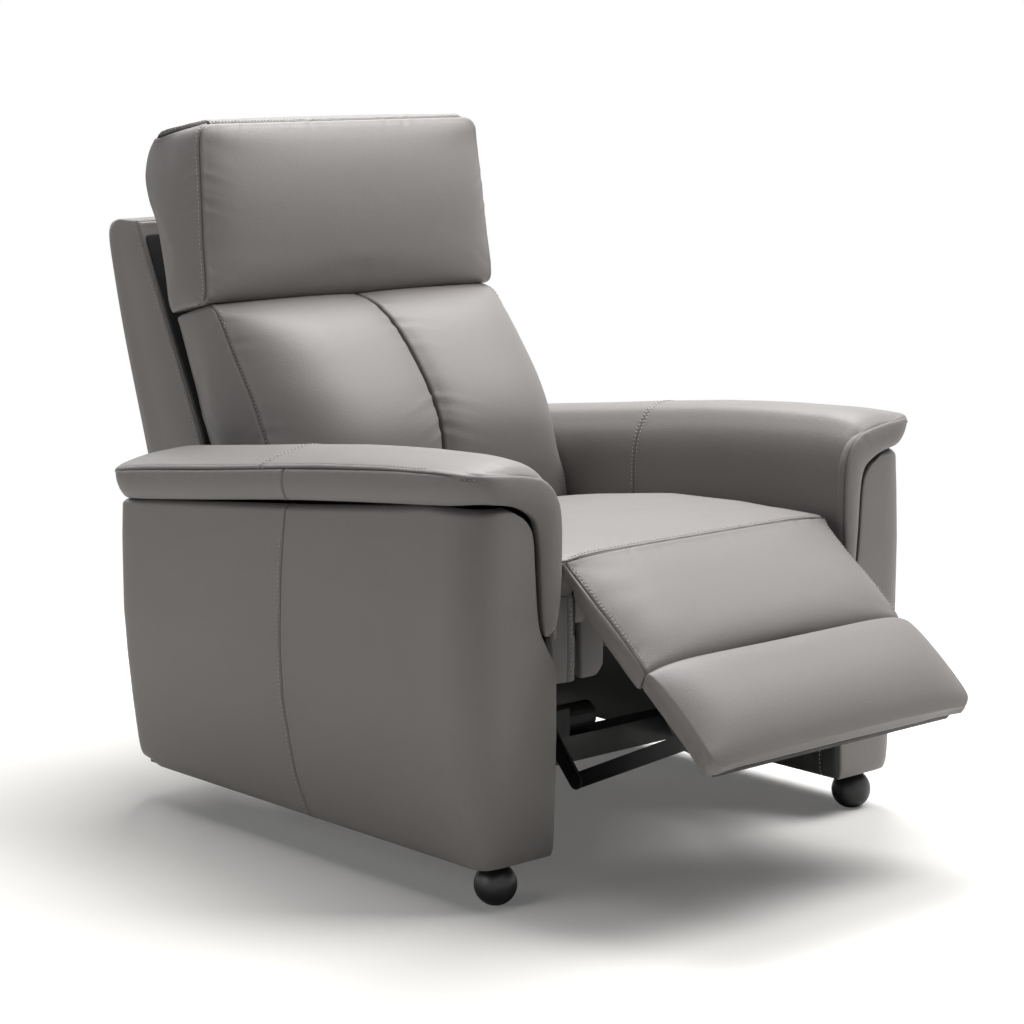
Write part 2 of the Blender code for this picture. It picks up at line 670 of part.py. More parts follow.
SEAT_PROFILE = ((0.0, -0.016), (0.012, -0.0045), (0.040, 0.0), (0.12, 0.0), (0.27, -0.0055),
                (0.40, -0.019), (0.48, -0.034), (0.515, -0.046), (0.535, -0.062))


def make_seat_cushion(frames, leather):
    """Crowned seat cushion, slit at its front corners for the leg rest's hinge plates."""
    length = SEAT_REAR_Y - SEAT_FRONT_Y
    stations = []
    for along, drop in SEAT_PROFILE:
        share = along / SEAT_PROFILE[-1][0]
        y = SEAT_FRONT_Y + length * share
        end = min(share, 1 - share) < 0.03
        half_width = SEAT_HALF_WIDTH - (0.008 if end else 0.002 * math.sin(math.pi * share))
        crown = SEAT_CROWN * (0.45 if end else 1.0)
        base = (y, deck_underside(y) + DECK_THICKNESS + TOUCH)
        stations.append((base, (y, SEAT_TOP_Z + drop), half_width, crown, 0.0, 0.003))
    cushion = pad("seat_cushion", stations, frames["seat"], leather)
    for side, sign in SIDES:
        x_range = (sign * (COUPLER_X + 0.001), sign * (PLATE_X + PLATE + 0.0045))
        y_range = (SEAT_FRONT_Y - THROUGH, DECK_FRONT_Y - 0.001)
        z_range = (DECK_FRONT_Z - THROUGH, HINGE_Z + 0.011)
        cut(cushion, block(f"hinge_slit_{side}", x_range, y_range, z_range, frames["seat"], None))


def make_apron_wings(frames, leather):
    top = deck_underside(FRONT_CROSS_Y + CROSS_TUBE) - TOUCH
    rear = FRONT_CROSS_Y - TOUCH
    for side, sign in SIDES:
        outer = WING_INNER_X + WING_WIDTH
        corner = arc((WING_INNER_X + 0.030, WING_BOTTOM_Z + 0.035), 0.030, 180, 270, 6)
        outline = [(outer, WING_BOTTOM_Z + 0.002), (outer, top), (WING_INNER_X, top)] + corner
        outline = [(sign * x, z) for x, z in outline]
        prism_y(f"apron_wing_{side}", outline, (rear - WING_THICKNESS, rear), frames["seat"], leather)


# Leg rest. Its empty is turned by the slope, so -Y runs along it and +Z stands square to it.


def make_leg_pads(frames, leather):
    hinge = frames["leg_rest"]
    upright = LEG_SLOPE
    stations = []
    for lean in (upright, upright * 0.5, 0.0, -math.radians(45)):
        turn = (math.sin(lean), math.cos(lean))
        base = (turn[0] * LIP_INNER, turn[1] * LIP_INNER)
        top = (turn[0] * LIP_OUTER, turn[1] * LIP_OUTER)
        if lean < 0:
            top = (-0.010, LIP_OUTER + 0.0008)
        narrow = 0.004 if lean == upright else 0.0
        crown = 0.002 if lean <= 0 else 0.001
        stations.append((base, top, PAD_HALF_WIDTH - narrow, crown))
    stations.append(((-LIP_INNER - 0.001, -0.001), (-0.0175, PAD_TOP), PAD_HALF_WIDTH, 0.003))
    stations.append(((-LIP_INNER - 0.002, -PAD_UNDERSIDE), (-0.026, PAD_TOP), PAD_HALF_WIDTH, 0.004))
    for along, drop, crown in ((0.055, 0.0, 0.006), (0.110, 0.0, 0.007), (0.150, 0.002, 0.006),
                               (0.168, 0.007, 0.004), (PAD_LENGTH, 0.014, 0.001)):
        base = (-along, -PAD_UNDERSIDE)
        stations.append((base, (-along, PAD_TOP - drop - 0.004), PAD_HALF_WIDTH, crown))
    pad("leg_rest_upper_pad", stations, hinge, leather)

    start = PAD_LENGTH + PAD_GROOVE
    stations = []
    for along, drop, crown, narrow in ((0.0, 0.015, 0.001, 0.002), (0.008, 0.007, 0.004, 0.0),
                                       (0.030, 0.001, 0.007, 0.0), (0.085, 0.0, 0.008, 0.001),
                                       (0.135, 0.003, 0.007, 0.0), (0.160, 0.009, 0.004, 0.002),
                                       (LOWER_PAD_LENGTH, 0.020, 0.001, 0.008)):
        y = -(start + along)
        stations.append(((y, -PAD_UNDERSIDE), (y, PAD_TOP - 0.004 - drop), PAD_HALF_WIDTH - narrow, crown))
    pad("leg_rest_lower_pad", stations, hinge, leather)


def make_leg_board(frames, wood):
    end = PAD_LENGTH + PAD_GROOVE + LOWER_PAD_LENGTH - BOARD_SETBACK
    top = -PAD_UNDERSIDE - TOUCH
    block("leg_rest_board", (-BOARD_HALF_WIDTH, BOARD_HALF_WIDTH), (-end, -BOARD_START),
          (top - BOARD, top), frames["leg_rest"], wood)


def make_leg_bracket(side, sign, frames, steel):
    """Hinge eye, a rail under the board and a drop at the lower pin, whose stub stands inward."""
    hinge = frames["leg_rest"]
    eye = HINGE_PIN_RADIUS + 0.0055
    board_low = -PAD_UNDERSIDE - TOUCH - BOARD - TOUCH
    pin_eye = LINK_PIN_RADIUS + EYE_MARGIN
    pin = (-LOWER_PIN_ALONG, -LOWER_PIN_DROP)
    outline = arc((0, 0), eye, 180, -60, 13)
    outline += [(-0.030, board_low - 0.018), (-LOWER_PIN_ALONG + 0.070, board_low - 0.016)]
    outline += arc(pin, pin_eye, -40, -150, 8)
    outline += [(-LOWER_PIN_ALONG - 0.040, board_low - 0.008), (-LOWER_PIN_ALONG - 0.046, board_low)]
    outline += [(-BOARD_START, board_low), (-eye, -PAD_UNDERSIDE - 0.0025)]
    x_range = (sign * LINK_X, sign * (LINK_X + PLATE))
    bracket = prism_x(f"leg_rest_bracket_{side}", outline, x_range, hinge, steel)
    cut(bracket, bore(f"bracket_bore_{side}", HINGE_PIN_RADIUS + PIN_PLAY, (sign * LINK_X, 0, 0), hinge))
    join(bracket, link_stub(f"bracket_stub_{side}", sign, pin, hinge))


def make_hinge_pin(side, sign, frames, steel):
    """Headed pin through the bracket and the side plate."""
    inner, outer = LINK_X - 0.0008, PLATE_X + PLATE + 0.0008
    head, thick = HINGE_PIN_RADIUS + 0.003, 0.0022
    profile = [(inner - thick, head - 0.001), (inner, head), (inner, HINGE_PIN_RADIUS)]
    profile += [(outer, HINGE_PIN_RADIUS), (outer, head), (outer + thick, head - 0.001)]
    profile = [(sign * x, r) for x, r in profile]
    turned(f"leg_hinge_pin_{side}", profile, (0, HINGE_Y, HINGE_Z), "X", frames["seat"], steel, 16)


def link_outline(start, end, start_radius, end_radius):
    """A flat link's outline in (y, z): two round eyes and the straight sides between them."""
    heading = math.degrees(math.atan2(end[1] - start[1], end[0] - start[0]))
    near = arc(start, start_radius, heading + 90, heading + 270, 11)
    return near + arc(end, end_radius, heading - 90, heading + 90, 11)


def link_stub(name, sign, pin, frame):
    """Pin that stands inward from a bracket or a crank, through the coupler's eye."""
    tip, root = COUPLER_X - PIN_END - LINK_X, 0.001
    profile = [(sign * tip, LINK_PIN_RADIUS), (sign * root, LINK_PIN_RADIUS)]
    return turned(name, profile, (sign * LINK_X, *pin), "X", frame, None, 16)


def make_crank(side, sign, frames, steel):
    tube, pin = tube_centre()[1:], crank_pin()[1:]
    outline = link_outline(tube, pin, TUBE_RADIUS + 0.005, LINK_PIN_RADIUS + EYE_MARGIN)
    x_range = (sign * LINK_X, sign * (LINK_X + PLATE))
    crank = prism_x(f"crank_{side}", outline, x_range, frames["crank"], steel)
    cut(crank, bore(f"crank_bore_{side}", TUBE_RADIUS + TOUCH, (sign * LINK_X, *tube), frames["crank"], 20))
    join(crank, link_stub(f"crank_stub_{side}", sign, pin, frames["crank"]))


def make_coupler(side, sign, frames, steel):
    start, end = crank_pin()[1:], lower_pin()[1:]
    radius = LINK_PIN_RADIUS + EYE_MARGIN - 0.001
    outline = link_outline(start, end, radius, radius)
    x_range = (sign * COUPLER_X, sign * (COUPLER_X + PLATE))
    coupler = prism_x(f"coupler_{side}", outline, x_range, frames["coupler"], steel)
    for label, (y, z), play in (("rear", start, PIN_PLAY), ("front", end, PIVOT_PLAY)):
        cut(coupler, bore(f"coupler_bore_{label}_{side}", LINK_PIN_RADIUS + play,
                          (sign * COUPLER_X, y, z), frames["coupler"]))


def make_torque_tube(frames, steel):
    inner, outer = PLATE_X - TOUCH, PLATE_X + PLATE + 0.0015
    profile = [(-outer, JOURNAL_RADIUS), (-inner, JOURNAL_RADIUS), (-inner, TUBE_RADIUS)]
    profile += [(inner, TUBE_RADIUS), (inner, JOURNAL_RADIUS), (outer, JOURNAL_RADIUS)]
    turned("torque_tube", profile, tube_centre(), "X", frames["crank"], steel, 20)


def lever_pin():
    """(y, z) of the lever's pin in the photographed pose."""
    _, y, z = tube_centre()
    return y - LEVER_LENGTH * math.sin(LEVER_LEAD), z - LEVER_LENGTH * math.cos(LEVER_LEAD)


def make_lever(frames, steel):
    """Lever on the torque tube. Its pin stands in the slot of the rod's yoke."""
    tube, pin = tube_centre()[1:], lever_pin()
    outline = link_outline(tube, pin, TUBE_RADIUS + 0.006, LEVER_PIN_RADIUS + 0.005)
    inner = ROD_RADIUS + 0.001
    lever = prism_x("actuator_lever", outline, (inner, inner + PLATE), frames["crank"], steel)
    cut(lever, bore("lever_bore", TUBE_RADIUS + TOUCH, (inner, *tube), frames["crank"], 20))
    stub = [(-PLATE, LEVER_PIN_RADIUS), (inner + 0.001, LEVER_PIN_RADIUS)]
    join(lever, turned("lever_stub", stub, (0, *pin), "X", frames["crank"], None, 16))


def make_leg_rod(frames, steel):
    """Rod with a slotted yoke. The slot lets the lever's pin rise and fall as it swings."""
    pin_y, _ = lever_pin()
    half = LEVER_PIN_RADIUS + YOKE_PLAY
    swing = math.radians(42.2)
    low = tube_centre()[2] - LEVER_LENGTH
    high = tube_centre()[2] - LEVER_LENGTH * math.cos(swing)
    outer = half + YOKE_WALL
    outline = arc((pin_y, high), outer, 0, 180, 9) + arc((pin_y, low), outer, 180, 360, 9)
    yoke = prism_x("leg_actuator_rod", outline, (-PLATE, PLATE), frames["leg_rod"], steel)
    slot = arc((pin_y, high + 0.001), half, 0, 180, 9) + arc((pin_y, low - 0.001), half, 180, 360, 9)
    cut(yoke, prism_x("yoke_slot", slot, (-THROUGH, THROUGH), frames["leg_rod"], None))
    rear = LEG_HOUSING_REAR_Y - 0.084
    profile = [(outer - 0.003, ROD_RADIUS), (rear - pin_y, ROD_RADIUS)]
    join(yoke, turned("leg_rod_shaft", profile, (0, pin_y, ROD_Z), "Y", frames["leg_rod"], None, 16))


def make_leg_housing(frames, plastic):
    """Tube, gearbox and motor of the leg rest's drive, held at the rear cross tube."""
    half = ACTUATOR_SIZE / 2
    front, rear = LEG_HOUSING_FRONT_Y, LEG_HOUSING_REAR_Y
    housing = block("leg_actuator_housing", (-half, half), (front, rear + 0.001),
                    (ROD_Z - half, ROD_Z + half), frames["seat"], plastic)
    gearbox = block("leg_gearbox", (-half - 0.006, half + 0.006), (rear, rear + GEARBOX_LENGTH),
                    (ROD_Z - half - 0.006, ROD_Z + half + 0.010), frames["seat"], None)
    tail = block("leg_housing_tail", (-0.012, 0.012), (rear + GEARBOX_LENGTH - 0.002, REAR_CROSS_Y - TOUCH),
                 (ROD_Z + 0.004, ROD_Z + 0.030), frames["seat"], None)
    hole = [(-THROUGH, ROD_RADIUS + SLIDE_PLAY), (rear - 0.030 - front, ROD_RADIUS + SLIDE_PLAY)]
    join(housing, gearbox, tail)
    cut(housing, turned("leg_housing_bore", hole, (0, front, ROD_Z), "Y", frames["seat"], None, 20))
    low = ROD_Z - half - 0.006 - TOUCH
    turned("leg_actuator_motor", [(-a, r) for a, r in motor_profile()],
           (0, rear + GEARBOX_LENGTH / 2, low), "Z", frames["seat"], plastic, 20)


def motor_profile():
    return ((0.0, MOTOR_RADIUS - 0.002), (0.002, MOTOR_RADIUS), (MOTOR_LENGTH - 0.002, MOTOR_RADIUS),
            (MOTOR_LENGTH, MOTOR_RADIUS - 0.002))


def make_recline_drive(frames, plastic, steel):
    """Housing on the front base rail. Its rod draws the seat forward by a lug under the seat."""
    half = ACTUATOR_SIZE / 2
    low = RAIL_BOTTOM_Z + RAIL_SIZE + TOUCH
    centre = low + half
    front, rear = RECLINE_HOUSING_FRONT_Y, RECLINE_HOUSING_REAR_Y
    housing = block("recline_actuator_housing", (-half, half), (front, rear), (low, low + 2 * half),
                    frames["base"], plastic)
    length = rear - RECLINE_BORE_FRONT_Y
    hole = [(-length, ROD_RADIUS + SLIDE_PLAY), (THROUGH, ROD_RADIUS + SLIDE_PLAY)]
    cut(housing, turned("recline_bore", hole, (0, rear, centre), "Y", frames["base"], None, 20))
    turned("recline_actuator_motor", motor_profile(), (half + TOUCH, front + MOTOR_RADIUS + 0.005, centre),
           "X", frames["base"], plastic, 20)
    rod = [(RECLINE_ROD_FRONT_Y - LUG_Y, ROD_RADIUS), (-TOUCH, ROD_RADIUS)]
    shaft = turned("recline_actuator_rod", rod, (0, LUG_Y, centre), "Y", frames["seat"], steel, 16)
    lug_top = REAR_CROSS_TOP_Z - CROSS_TUBE - TOUCH
    lug = block("recline_lug", (-0.014, 0.014), (LUG_Y - 0.001, LUG_Y + LUG_THICKNESS),
                (centre - 0.012, lug_top), frames["seat"], None)
    join(shaft, lug)


def make_control_box(frames, plastic):
    """Box on the rear rail with the socket for the mains adapter's lead in its rear face."""
    low = RAIL_BOTTOM_Z + RAIL_SIZE + TOUCH
    front, rear = REAR_RAIL_Y - 0.010, REAR_RAIL_Y + RAIL_SIZE + 0.010
    box = block("control_box", (BOX_X, BOX_X + BOX_WIDTH), (front, rear), (low, low + BOX_HEIGHT),
                frames["base"], plastic)
    socket = [(-INLET_DEPTH, INLET_RADIUS), (THROUGH, INLET_RADIUS)]
    centre = (BOX_X + BOX_WIDTH / 4, rear, low + BOX_HEIGHT / 2)
    cut(box, turned("power_inlet", socket, centre, "Y", frames["base"], None, 16))


# Back


def make_back_board(frames, wood):
    low, high = BACK_BOARD_BOTTOM_Z, BACK_BOARD_TOP_Z
    outline = [(back_line(low), low), (back_line(high), high)]
    outline += [(back_line(high) + BACK_BOARD, high), (back_line(low) + BACK_BOARD, low)]
    prism_x("back_frame", outline, (-BACK_BOARD_HALF_WIDTH, BACK_BOARD_HALF_WIDTH), frames["back"], wood)


def make_back_bracket(side, sign, frames, steel):
    """Plate on the back board's edge: pivot eye, and the lever whose stub pushes the seat."""
    pivot = (BACK_PIVOT_Y, BACK_PIVOT_Z)
    pin = back_lever_pin()
    eye = 0.016
    pin_eye = BACK_PIN_RADIUS + EYE_MARGIN
    shelf = BACK_BOTTOM_Z - 0.004
    foot = SHELL_BOTTOM_Z + 0.090
    high = BACK_BOARD_BOTTOM_Z + 0.120
    outline = [(back_line(foot) + 0.002, foot), (back_line(high) + BACK_BOARD - 0.001, high)]
    outline += [(back_line(high) + 0.0003, high), (back_line(shelf) + 0.0003, shelf)]
    outline += [(BACK_PIVOT_Y + 0.010, shelf - 0.006)]
    outline += arc(pivot, eye, 100, 190, 7)
    outline += arc(pin, pin_eye, 190, 340, 8)
    x_range = (sign * BRACKET_X, sign * (BRACKET_X + PLATE))
    bracket = prism_x(f"back_bracket_{side}", outline, x_range, frames["back"], steel)
    hole = bore(f"pivot_bore_{side}", JOURNAL_RADIUS + PIN_PLAY, (sign * BRACKET_X, *pivot), frames["back"])
    cut(bracket, hole)
    stub = [(sign * (PLATE_X - PIN_END - BRACKET_X), BACK_PIN_RADIUS), (sign * 0.001, BACK_PIN_RADIUS)]
    centre = (sign * BRACKET_X, *pin)
    join(bracket, turned(f"lever_pin_{side}", stub, centre, "X", frames["back"], None, 16))


def make_back_pivot(side, sign, frames, steel):
    """Flanged pin on the arm's frame board that carries the back."""
    reach = ARM_INNER_X + LINER_THICKNESS
    shoulder = BRACKET_X + PLATE + PIN_END
    profile = [(BRACKET_X - PIN_END - 0.001, JOURNAL_RADIUS - 0.001), (BRACKET_X - PIN_END, JOURNAL_RADIUS)]
    profile += [(shoulder, JOURNAL_RADIUS), (shoulder, JOURNAL_RADIUS + 0.003)]
    profile += [(reach - FLANGE, JOURNAL_RADIUS + 0.003), (reach - FLANGE, JOURNAL_RADIUS + 0.009)]
    profile += [(reach, JOURNAL_RADIUS + 0.009)]
    profile = [(sign * x, r) for x, r in profile]
    turned(f"back_pivot_{side}", profile, (0, BACK_PIVOT_Y, BACK_PIVOT_Z), "X", frames["base"], steel, 20)


def make_shell(frames, leather):
    """Padded shell behind the back board, with a shallow pocket that takes the board."""
    rear_line = ((SHELL_BOTTOM_Z, 0.842), (0.30, 0.858), (0.513, 0.926), (0.645, 0.968), (0.844, 1.015))
    stations = []
    low, high = SHELL_BOTTOM_Z + 0.040, SHELL_TOP_Z - 0.024
    levels = [SHELL_BOTTOM_Z, SHELL_BOTTOM_Z + 0.010, low]
    levels += [low + (high - low) * share for share in (0.2, 0.45, 0.7, 0.88, 1.0)]
    levels += [SHELL_TOP_Z - 0.008, SHELL_TOP_Z]
    for z in levels:
        edge = min(z - SHELL_BOTTOM_Z, SHELL_TOP_Z - z)
        inset = 0.020 if edge < 0.005 else 0.007 if edge < 0.012 else 0.001 if edge < 0.03 else 0.0
        front = back_line(z) + 0.0006 + inset * 0.3
        rear = between(rear_line, z) - inset
        width = SHELL_HALF_WIDTH - inset * 0.6
        bow = 0.010
        ring = [(-width + 0.004, front), (width - 0.004, front), (width, front + 0.006)]
        ring += [(width, rear - 0.040), (width - 0.010, rear - 0.016), (width - 0.034, rear - 0.003)]
        ring += [(width * 0.5, rear + bow * 0.4), (0, rear + bow * 0.6), (-width * 0.5, rear + bow * 0.4)]
        ring += [(-width + 0.034, rear - 0.003), (-width + 0.010, rear - 0.016), (-width, rear - 0.040)]
        ring += [(-width, front + 0.006)]
        stations.append([(x, y, z) for x, y in ring])
    shell = loft("back_shell", stations, frames["back"], leather, smooth_angle=50)
    low, high = SHELL_BOTTOM_Z - 0.02, BACK_BOARD_TOP_Z + TOUCH
    deep = BACK_BOARD + TOUCH
    outline = [(back_line(low) - 0.02, low), (back_line(high) - 0.02, high)]
    outline += [(back_line(high) + deep, high), (back_line(low) + deep, low)]
    reach = BRACKET_X + PLATE + TOUCH
    cut(shell, prism_x("board_pocket", outline, (-reach, reach), frames["back"], None))


# Height, side edge, crown in front of it and depth of the sewn channel, from the bottom up.
BACK_SECTIONS = ((0.375, 0.548, 0.003, 0.0), (0.390, 0.541, 0.004, 0.0), (0.413, 0.543, 0.007, 0.0),
                 (0.438, 0.549, 0.018, 0.003), (0.462, 0.558, 0.040, 0.007), (0.500, 0.576, 0.066, 0.011),
                 (0.560, 0.605, 0.088, 0.013), (0.613, 0.634, 0.091, 0.013), (0.664, 0.669, 0.086, 0.013),
                 (0.700, 0.693, 0.074, 0.013), (0.723, 0.709, 0.058, 0.012), (0.739, 0.723, 0.036, 0.008),
                 (0.7455, 0.740, 0.008, 0.002))
BACK_SQUARENESS = 7.0


def make_back_cushion(frames, leather):
    """Front of the back, with the sewn channel down its middle and a top that meets the headrest."""
    stations = []
    top_index = len(BACK_SECTIONS) - 1
    for i, (z, y, crown, sewn) in enumerate(BACK_SECTIONS):
        lean_in = 0.020 * max(0.0, (0.58 - z) / 0.20)
        rear_z = z - 0.024 * i / top_index
        rear_y = back_line(rear_z) - 0.0006 - lean_in
        half_width = BACK_HALF_WIDTH - (0.006 if i in (0, top_index) else 0.0)
        stations.append(((rear_y, rear_z), (y, z), half_width, crown, sewn, 0.003, BACK_SQUARENESS))
    pad("back_cushion", stations, frames["back"], leather)


HEAD_FRONT_LINE = ((0.7513, 0.762), (0.766, 0.744), (0.790, 0.7400), (0.840, 0.7465), (0.900, 0.7525),
                   (0.960, 0.7585), (1.000, 0.7630), (1.0165, 0.7720), (1.023, 0.7920))
HEAD_REAR_LINE = ((0.7280, 0.837), (0.745, 0.8440), (0.775, 0.8540), (0.820, 0.8690), (0.862, 0.8825),
                  (0.907, 0.901), (0.950, 0.904), (0.983, 0.890), (1.006, 0.860))


def make_headrest(frames, leather):
    stations = []
    top_index = len(HEAD_FRONT_LINE) - 1
    for i, ((z, y), (rear_z, rear_y)) in enumerate(zip(HEAD_FRONT_LINE, HEAD_REAR_LINE)):
        share = i / top_index
        half_width = HEAD_HALF_WIDTH + (HEAD_TOP_HALF_WIDTH - HEAD_HALF_WIDTH) * share
        end = i in (0, top_index)
        crown = HEAD_CROWN * (0.1 if end else 0.4 if i in (1, top_index - 1) else 1.0)
        narrow = 0.006 if end else 0.0
        stations.append(((rear_y, rear_z), (y, z), half_width - narrow, crown, 0.0, 0.003))
    pad("headrest_cushion", stations, frames["headrest"], leather)


def leaf_outline(offset_low, offset_high, start, end):
    """A thin strip along the headrest's underside, offsets measured straight up from the hinge."""
    points = []
    for along, offset in ((start, offset_low), (end, offset_low), (end, offset_high), (start, offset_high)):
        points.append((HEAD_HINGE_Y + along, HEAD_HINGE_Z - along * HEAD_SLOPE + offset))
    return points


def make_headrest_hinge(frames, steel):
    """Two leaves and a rod: the lower leaf is fixed to the back board, the upper to the headrest."""
    reach = (-LEAF_HALF_WIDTH, LEAF_HALF_WIDTH)
    gap = 0.0006
    radius = HEAD_ROD_RADIUS
    reach_back = back_line(HEAD_HINGE_Z - gap - LEAF) - HEAD_HINGE_Y - TOUCH
    board_end = reach_back / (1 + HEAD_SLOPE * BACK_LEAN)
    lower = leaf_outline(-gap - LEAF, -gap, radius + PIN_PLAY, board_end)
    upper = leaf_outline(gap, gap + LEAF, radius + PIN_PLAY, 0.078)
    prism_x("headrest_leaf_lower", lower, reach, frames["back"], steel)
    prism_x("headrest_leaf_upper", upper, reach, frames["headrest"], steel)
    rod = [(-LEAF_HALF_WIDTH, radius), (LEAF_HALF_WIDTH, radius)]
    turned("headrest_hinge_rod", rod, (0, HEAD_HINGE_Y, HEAD_HINGE_Z), "X", frames["back"], steel, 16)


# Switch


def make_switch(frames, plastic, button_plastic, liner):
    """Two push buttons in a plate on the right arm's inner face."""
    face = -ARM_INNER_X + TOUCH
    half_length, half_height = SWITCH_LENGTH / 2, SWITCH_HEIGHT / 2
    ends = arc((SWITCH_Y + half_length - half_height, SWITCH_Z), half_height, -90, 90, 9)
    ends += arc((SWITCH_Y - half_length + half_height, SWITCH_Z), half_height, 90, 270, 9)
    plate = prism_x("switch_plate", ends, (face, face + SWITCH_PLATE), frames["base"], plastic)
    for name, offset in (("leg_rest_button", -BUTTON_PITCH / 2), ("recline_button", BUTTON_PITCH / 2)):
        centre = (face + SWITCH_PLATE, SWITCH_Y + offset, SWITCH_Z)
        cut(plate, bore(f"{name}_hole", BUTTON_RADIUS + SLIDE_PLAY, centre, frames["base"], 20))
        deep = -SWITCH_PLATE - TOUCH - BUTTON_POCKET
        pocket = [(deep, BUTTON_RADIUS + 2 * SLIDE_PLAY), (THROUGH, BUTTON_RADIUS + 2 * SLIDE_PLAY)]
        cut(liner, turned(f"{name}_pocket", pocket, centre, "X", frames["base"], None, 20))
        body = [(BUTTON_PROUD - BUTTON_LENGTH, BUTTON_RADIUS), (BUTTON_PROUD - 0.001, BUTTON_RADIUS)]
        body += [(BUTTON_PROUD, BUTTON_RADIUS - 0.001)]
        slide = (make_empty(f"{name}_slide", frames["base"][0], centre), centre)
        turned(name, body, centre, "X", slide, button_plastic, 20)


def build():
    clear_scene()
    leather = make_material("leather", (0.26, 0.235, 0.22), 0.45)
    wood = make_material("plywood", (0.50, 0.36, 0.22), 0.7)
    steel = make_material("black_steel", (0.02, 0.02, 0.022), 0.4, 0.6)
    plastic = make_material("black_plastic", (0.015, 0.015, 0.016), 0.5)
    button_plastic = make_material("button_plastic", (0.10, 0.10, 0.11), 0.4)
    frames = make_frames()
    liners = {}
    for side, sign in SIDES:
        make_arm_panel(side, sign, frames, leather)
        make_arm_frame(side, sign, frames, wood)
        liners[side] = make_arm_liner(side, sign, frames, leather)
        make_arm_cap(side, sign, frames, leather)
        make_foot(f"foot_front_{side}", sign * FOOT_X, 0, ARM_BOTTOM_Z, frames, plastic)
        make_foot(f"foot_rear_{side}", sign * REAR_FOOT_X, REAR_RAIL_Y + RAIL_SIZE / 2, RAIL_BOTTOM_Z,
                  frames, plastic)
        make_side_plate(side, sign, frames, steel)
        make_glide_bar(side, sign, frames, steel)
        make_leg_bracket(side, sign, frames, steel)
        make_hinge_pin(side, sign, frames, steel)
        make_crank(side, sign, frames, steel)
        make_coupler(side, sign, frames, steel)
        make_back_bracket(side, sign, frames, steel)
        make_back_pivot(side, sign, frames, steel)
    make_base(frames, steel)
    make_cross_tube("seat_cross_front", FRONT_CROSS_Y, deck_underside(FRONT_CROSS_Y + CROSS_TUBE) - TOUCH,
                    frames, steel)
    make_cross_tube("seat_cross_rear", REAR_CROSS_Y, REAR_CROSS_TOP_Z, frames, steel)
    make_deck(frames, wood)
    make_seat_cushion(frames, leather)
    make_apron_wings(frames, leather)
    make_leg_pads(frames, leather)
    make_leg_board(frames, wood)
    make_torque_tube(frames, steel)
    make_lever(frames, steel)
    make_leg_rod(frames, steel)
    make_leg_housing(frames, plastic)
    make_recline_drive(frames, plastic, steel)
    make_control_box(frames, plastic)
    make_back_board(frames, wood)
    make_shell(frames, leather)
    make_back_cushion(frames, leather)
    make_headrest(frames, leather)
    make_headrest_hinge(frames, steel)
    make_switch(frames, plastic, button_plastic, liners["right"])


build()
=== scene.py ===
# %% [markdown]
# A powered recliner chair in grey leather. This notebook dresses a CAD frame of the chair: the frame
# fixes every size and every joint, and each cell below adds what the eye looks for, which is padded
# leather with its seams, stitches and creases, the black steelwork underneath, and a studio.

# %% Load the frame
import itertools
import json
import math
import bmesh
import bpy
import numpy as np
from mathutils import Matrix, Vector
from mathutils.bvhtree import BVHTree
from mathutils.kdtree import KDTree

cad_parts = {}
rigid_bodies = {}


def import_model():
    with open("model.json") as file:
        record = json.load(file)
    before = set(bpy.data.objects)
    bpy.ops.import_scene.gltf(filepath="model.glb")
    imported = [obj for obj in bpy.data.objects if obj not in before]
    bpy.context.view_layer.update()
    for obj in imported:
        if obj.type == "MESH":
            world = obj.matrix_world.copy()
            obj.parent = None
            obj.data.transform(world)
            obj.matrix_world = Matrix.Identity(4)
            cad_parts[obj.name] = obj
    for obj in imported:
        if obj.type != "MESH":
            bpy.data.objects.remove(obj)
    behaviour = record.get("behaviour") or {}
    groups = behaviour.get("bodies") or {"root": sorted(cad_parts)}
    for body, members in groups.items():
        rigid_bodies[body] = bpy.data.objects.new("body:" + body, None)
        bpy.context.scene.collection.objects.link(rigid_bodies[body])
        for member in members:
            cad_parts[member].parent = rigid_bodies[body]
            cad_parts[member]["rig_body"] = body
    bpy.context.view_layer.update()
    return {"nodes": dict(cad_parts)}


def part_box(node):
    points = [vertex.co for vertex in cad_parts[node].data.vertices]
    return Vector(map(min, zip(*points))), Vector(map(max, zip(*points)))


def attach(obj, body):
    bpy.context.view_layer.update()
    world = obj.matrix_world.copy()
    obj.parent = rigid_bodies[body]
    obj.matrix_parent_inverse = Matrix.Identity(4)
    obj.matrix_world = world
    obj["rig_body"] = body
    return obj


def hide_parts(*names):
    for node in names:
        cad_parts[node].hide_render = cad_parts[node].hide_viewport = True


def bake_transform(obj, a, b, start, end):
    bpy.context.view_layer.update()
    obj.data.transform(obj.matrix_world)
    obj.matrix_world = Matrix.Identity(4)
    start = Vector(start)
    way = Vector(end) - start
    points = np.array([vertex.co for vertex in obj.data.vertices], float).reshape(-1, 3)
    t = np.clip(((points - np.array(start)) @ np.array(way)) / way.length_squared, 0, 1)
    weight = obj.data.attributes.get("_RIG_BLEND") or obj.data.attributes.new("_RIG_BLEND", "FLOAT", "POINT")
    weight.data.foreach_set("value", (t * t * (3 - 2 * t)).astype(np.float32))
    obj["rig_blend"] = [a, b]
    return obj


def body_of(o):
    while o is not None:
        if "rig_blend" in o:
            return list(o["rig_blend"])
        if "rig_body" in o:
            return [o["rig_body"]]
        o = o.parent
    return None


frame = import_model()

NODES = frame["nodes"]

# %% [markdown]
# Sizes on a chair are easiest to read from the floor and from the front feet, so the numbers in this
# notebook are metres from there: x to the sitter's left, y rearwards from the axis of the front feet,
# z up. The frame has its zero under the middle of the chair, and one subtraction joins the two.

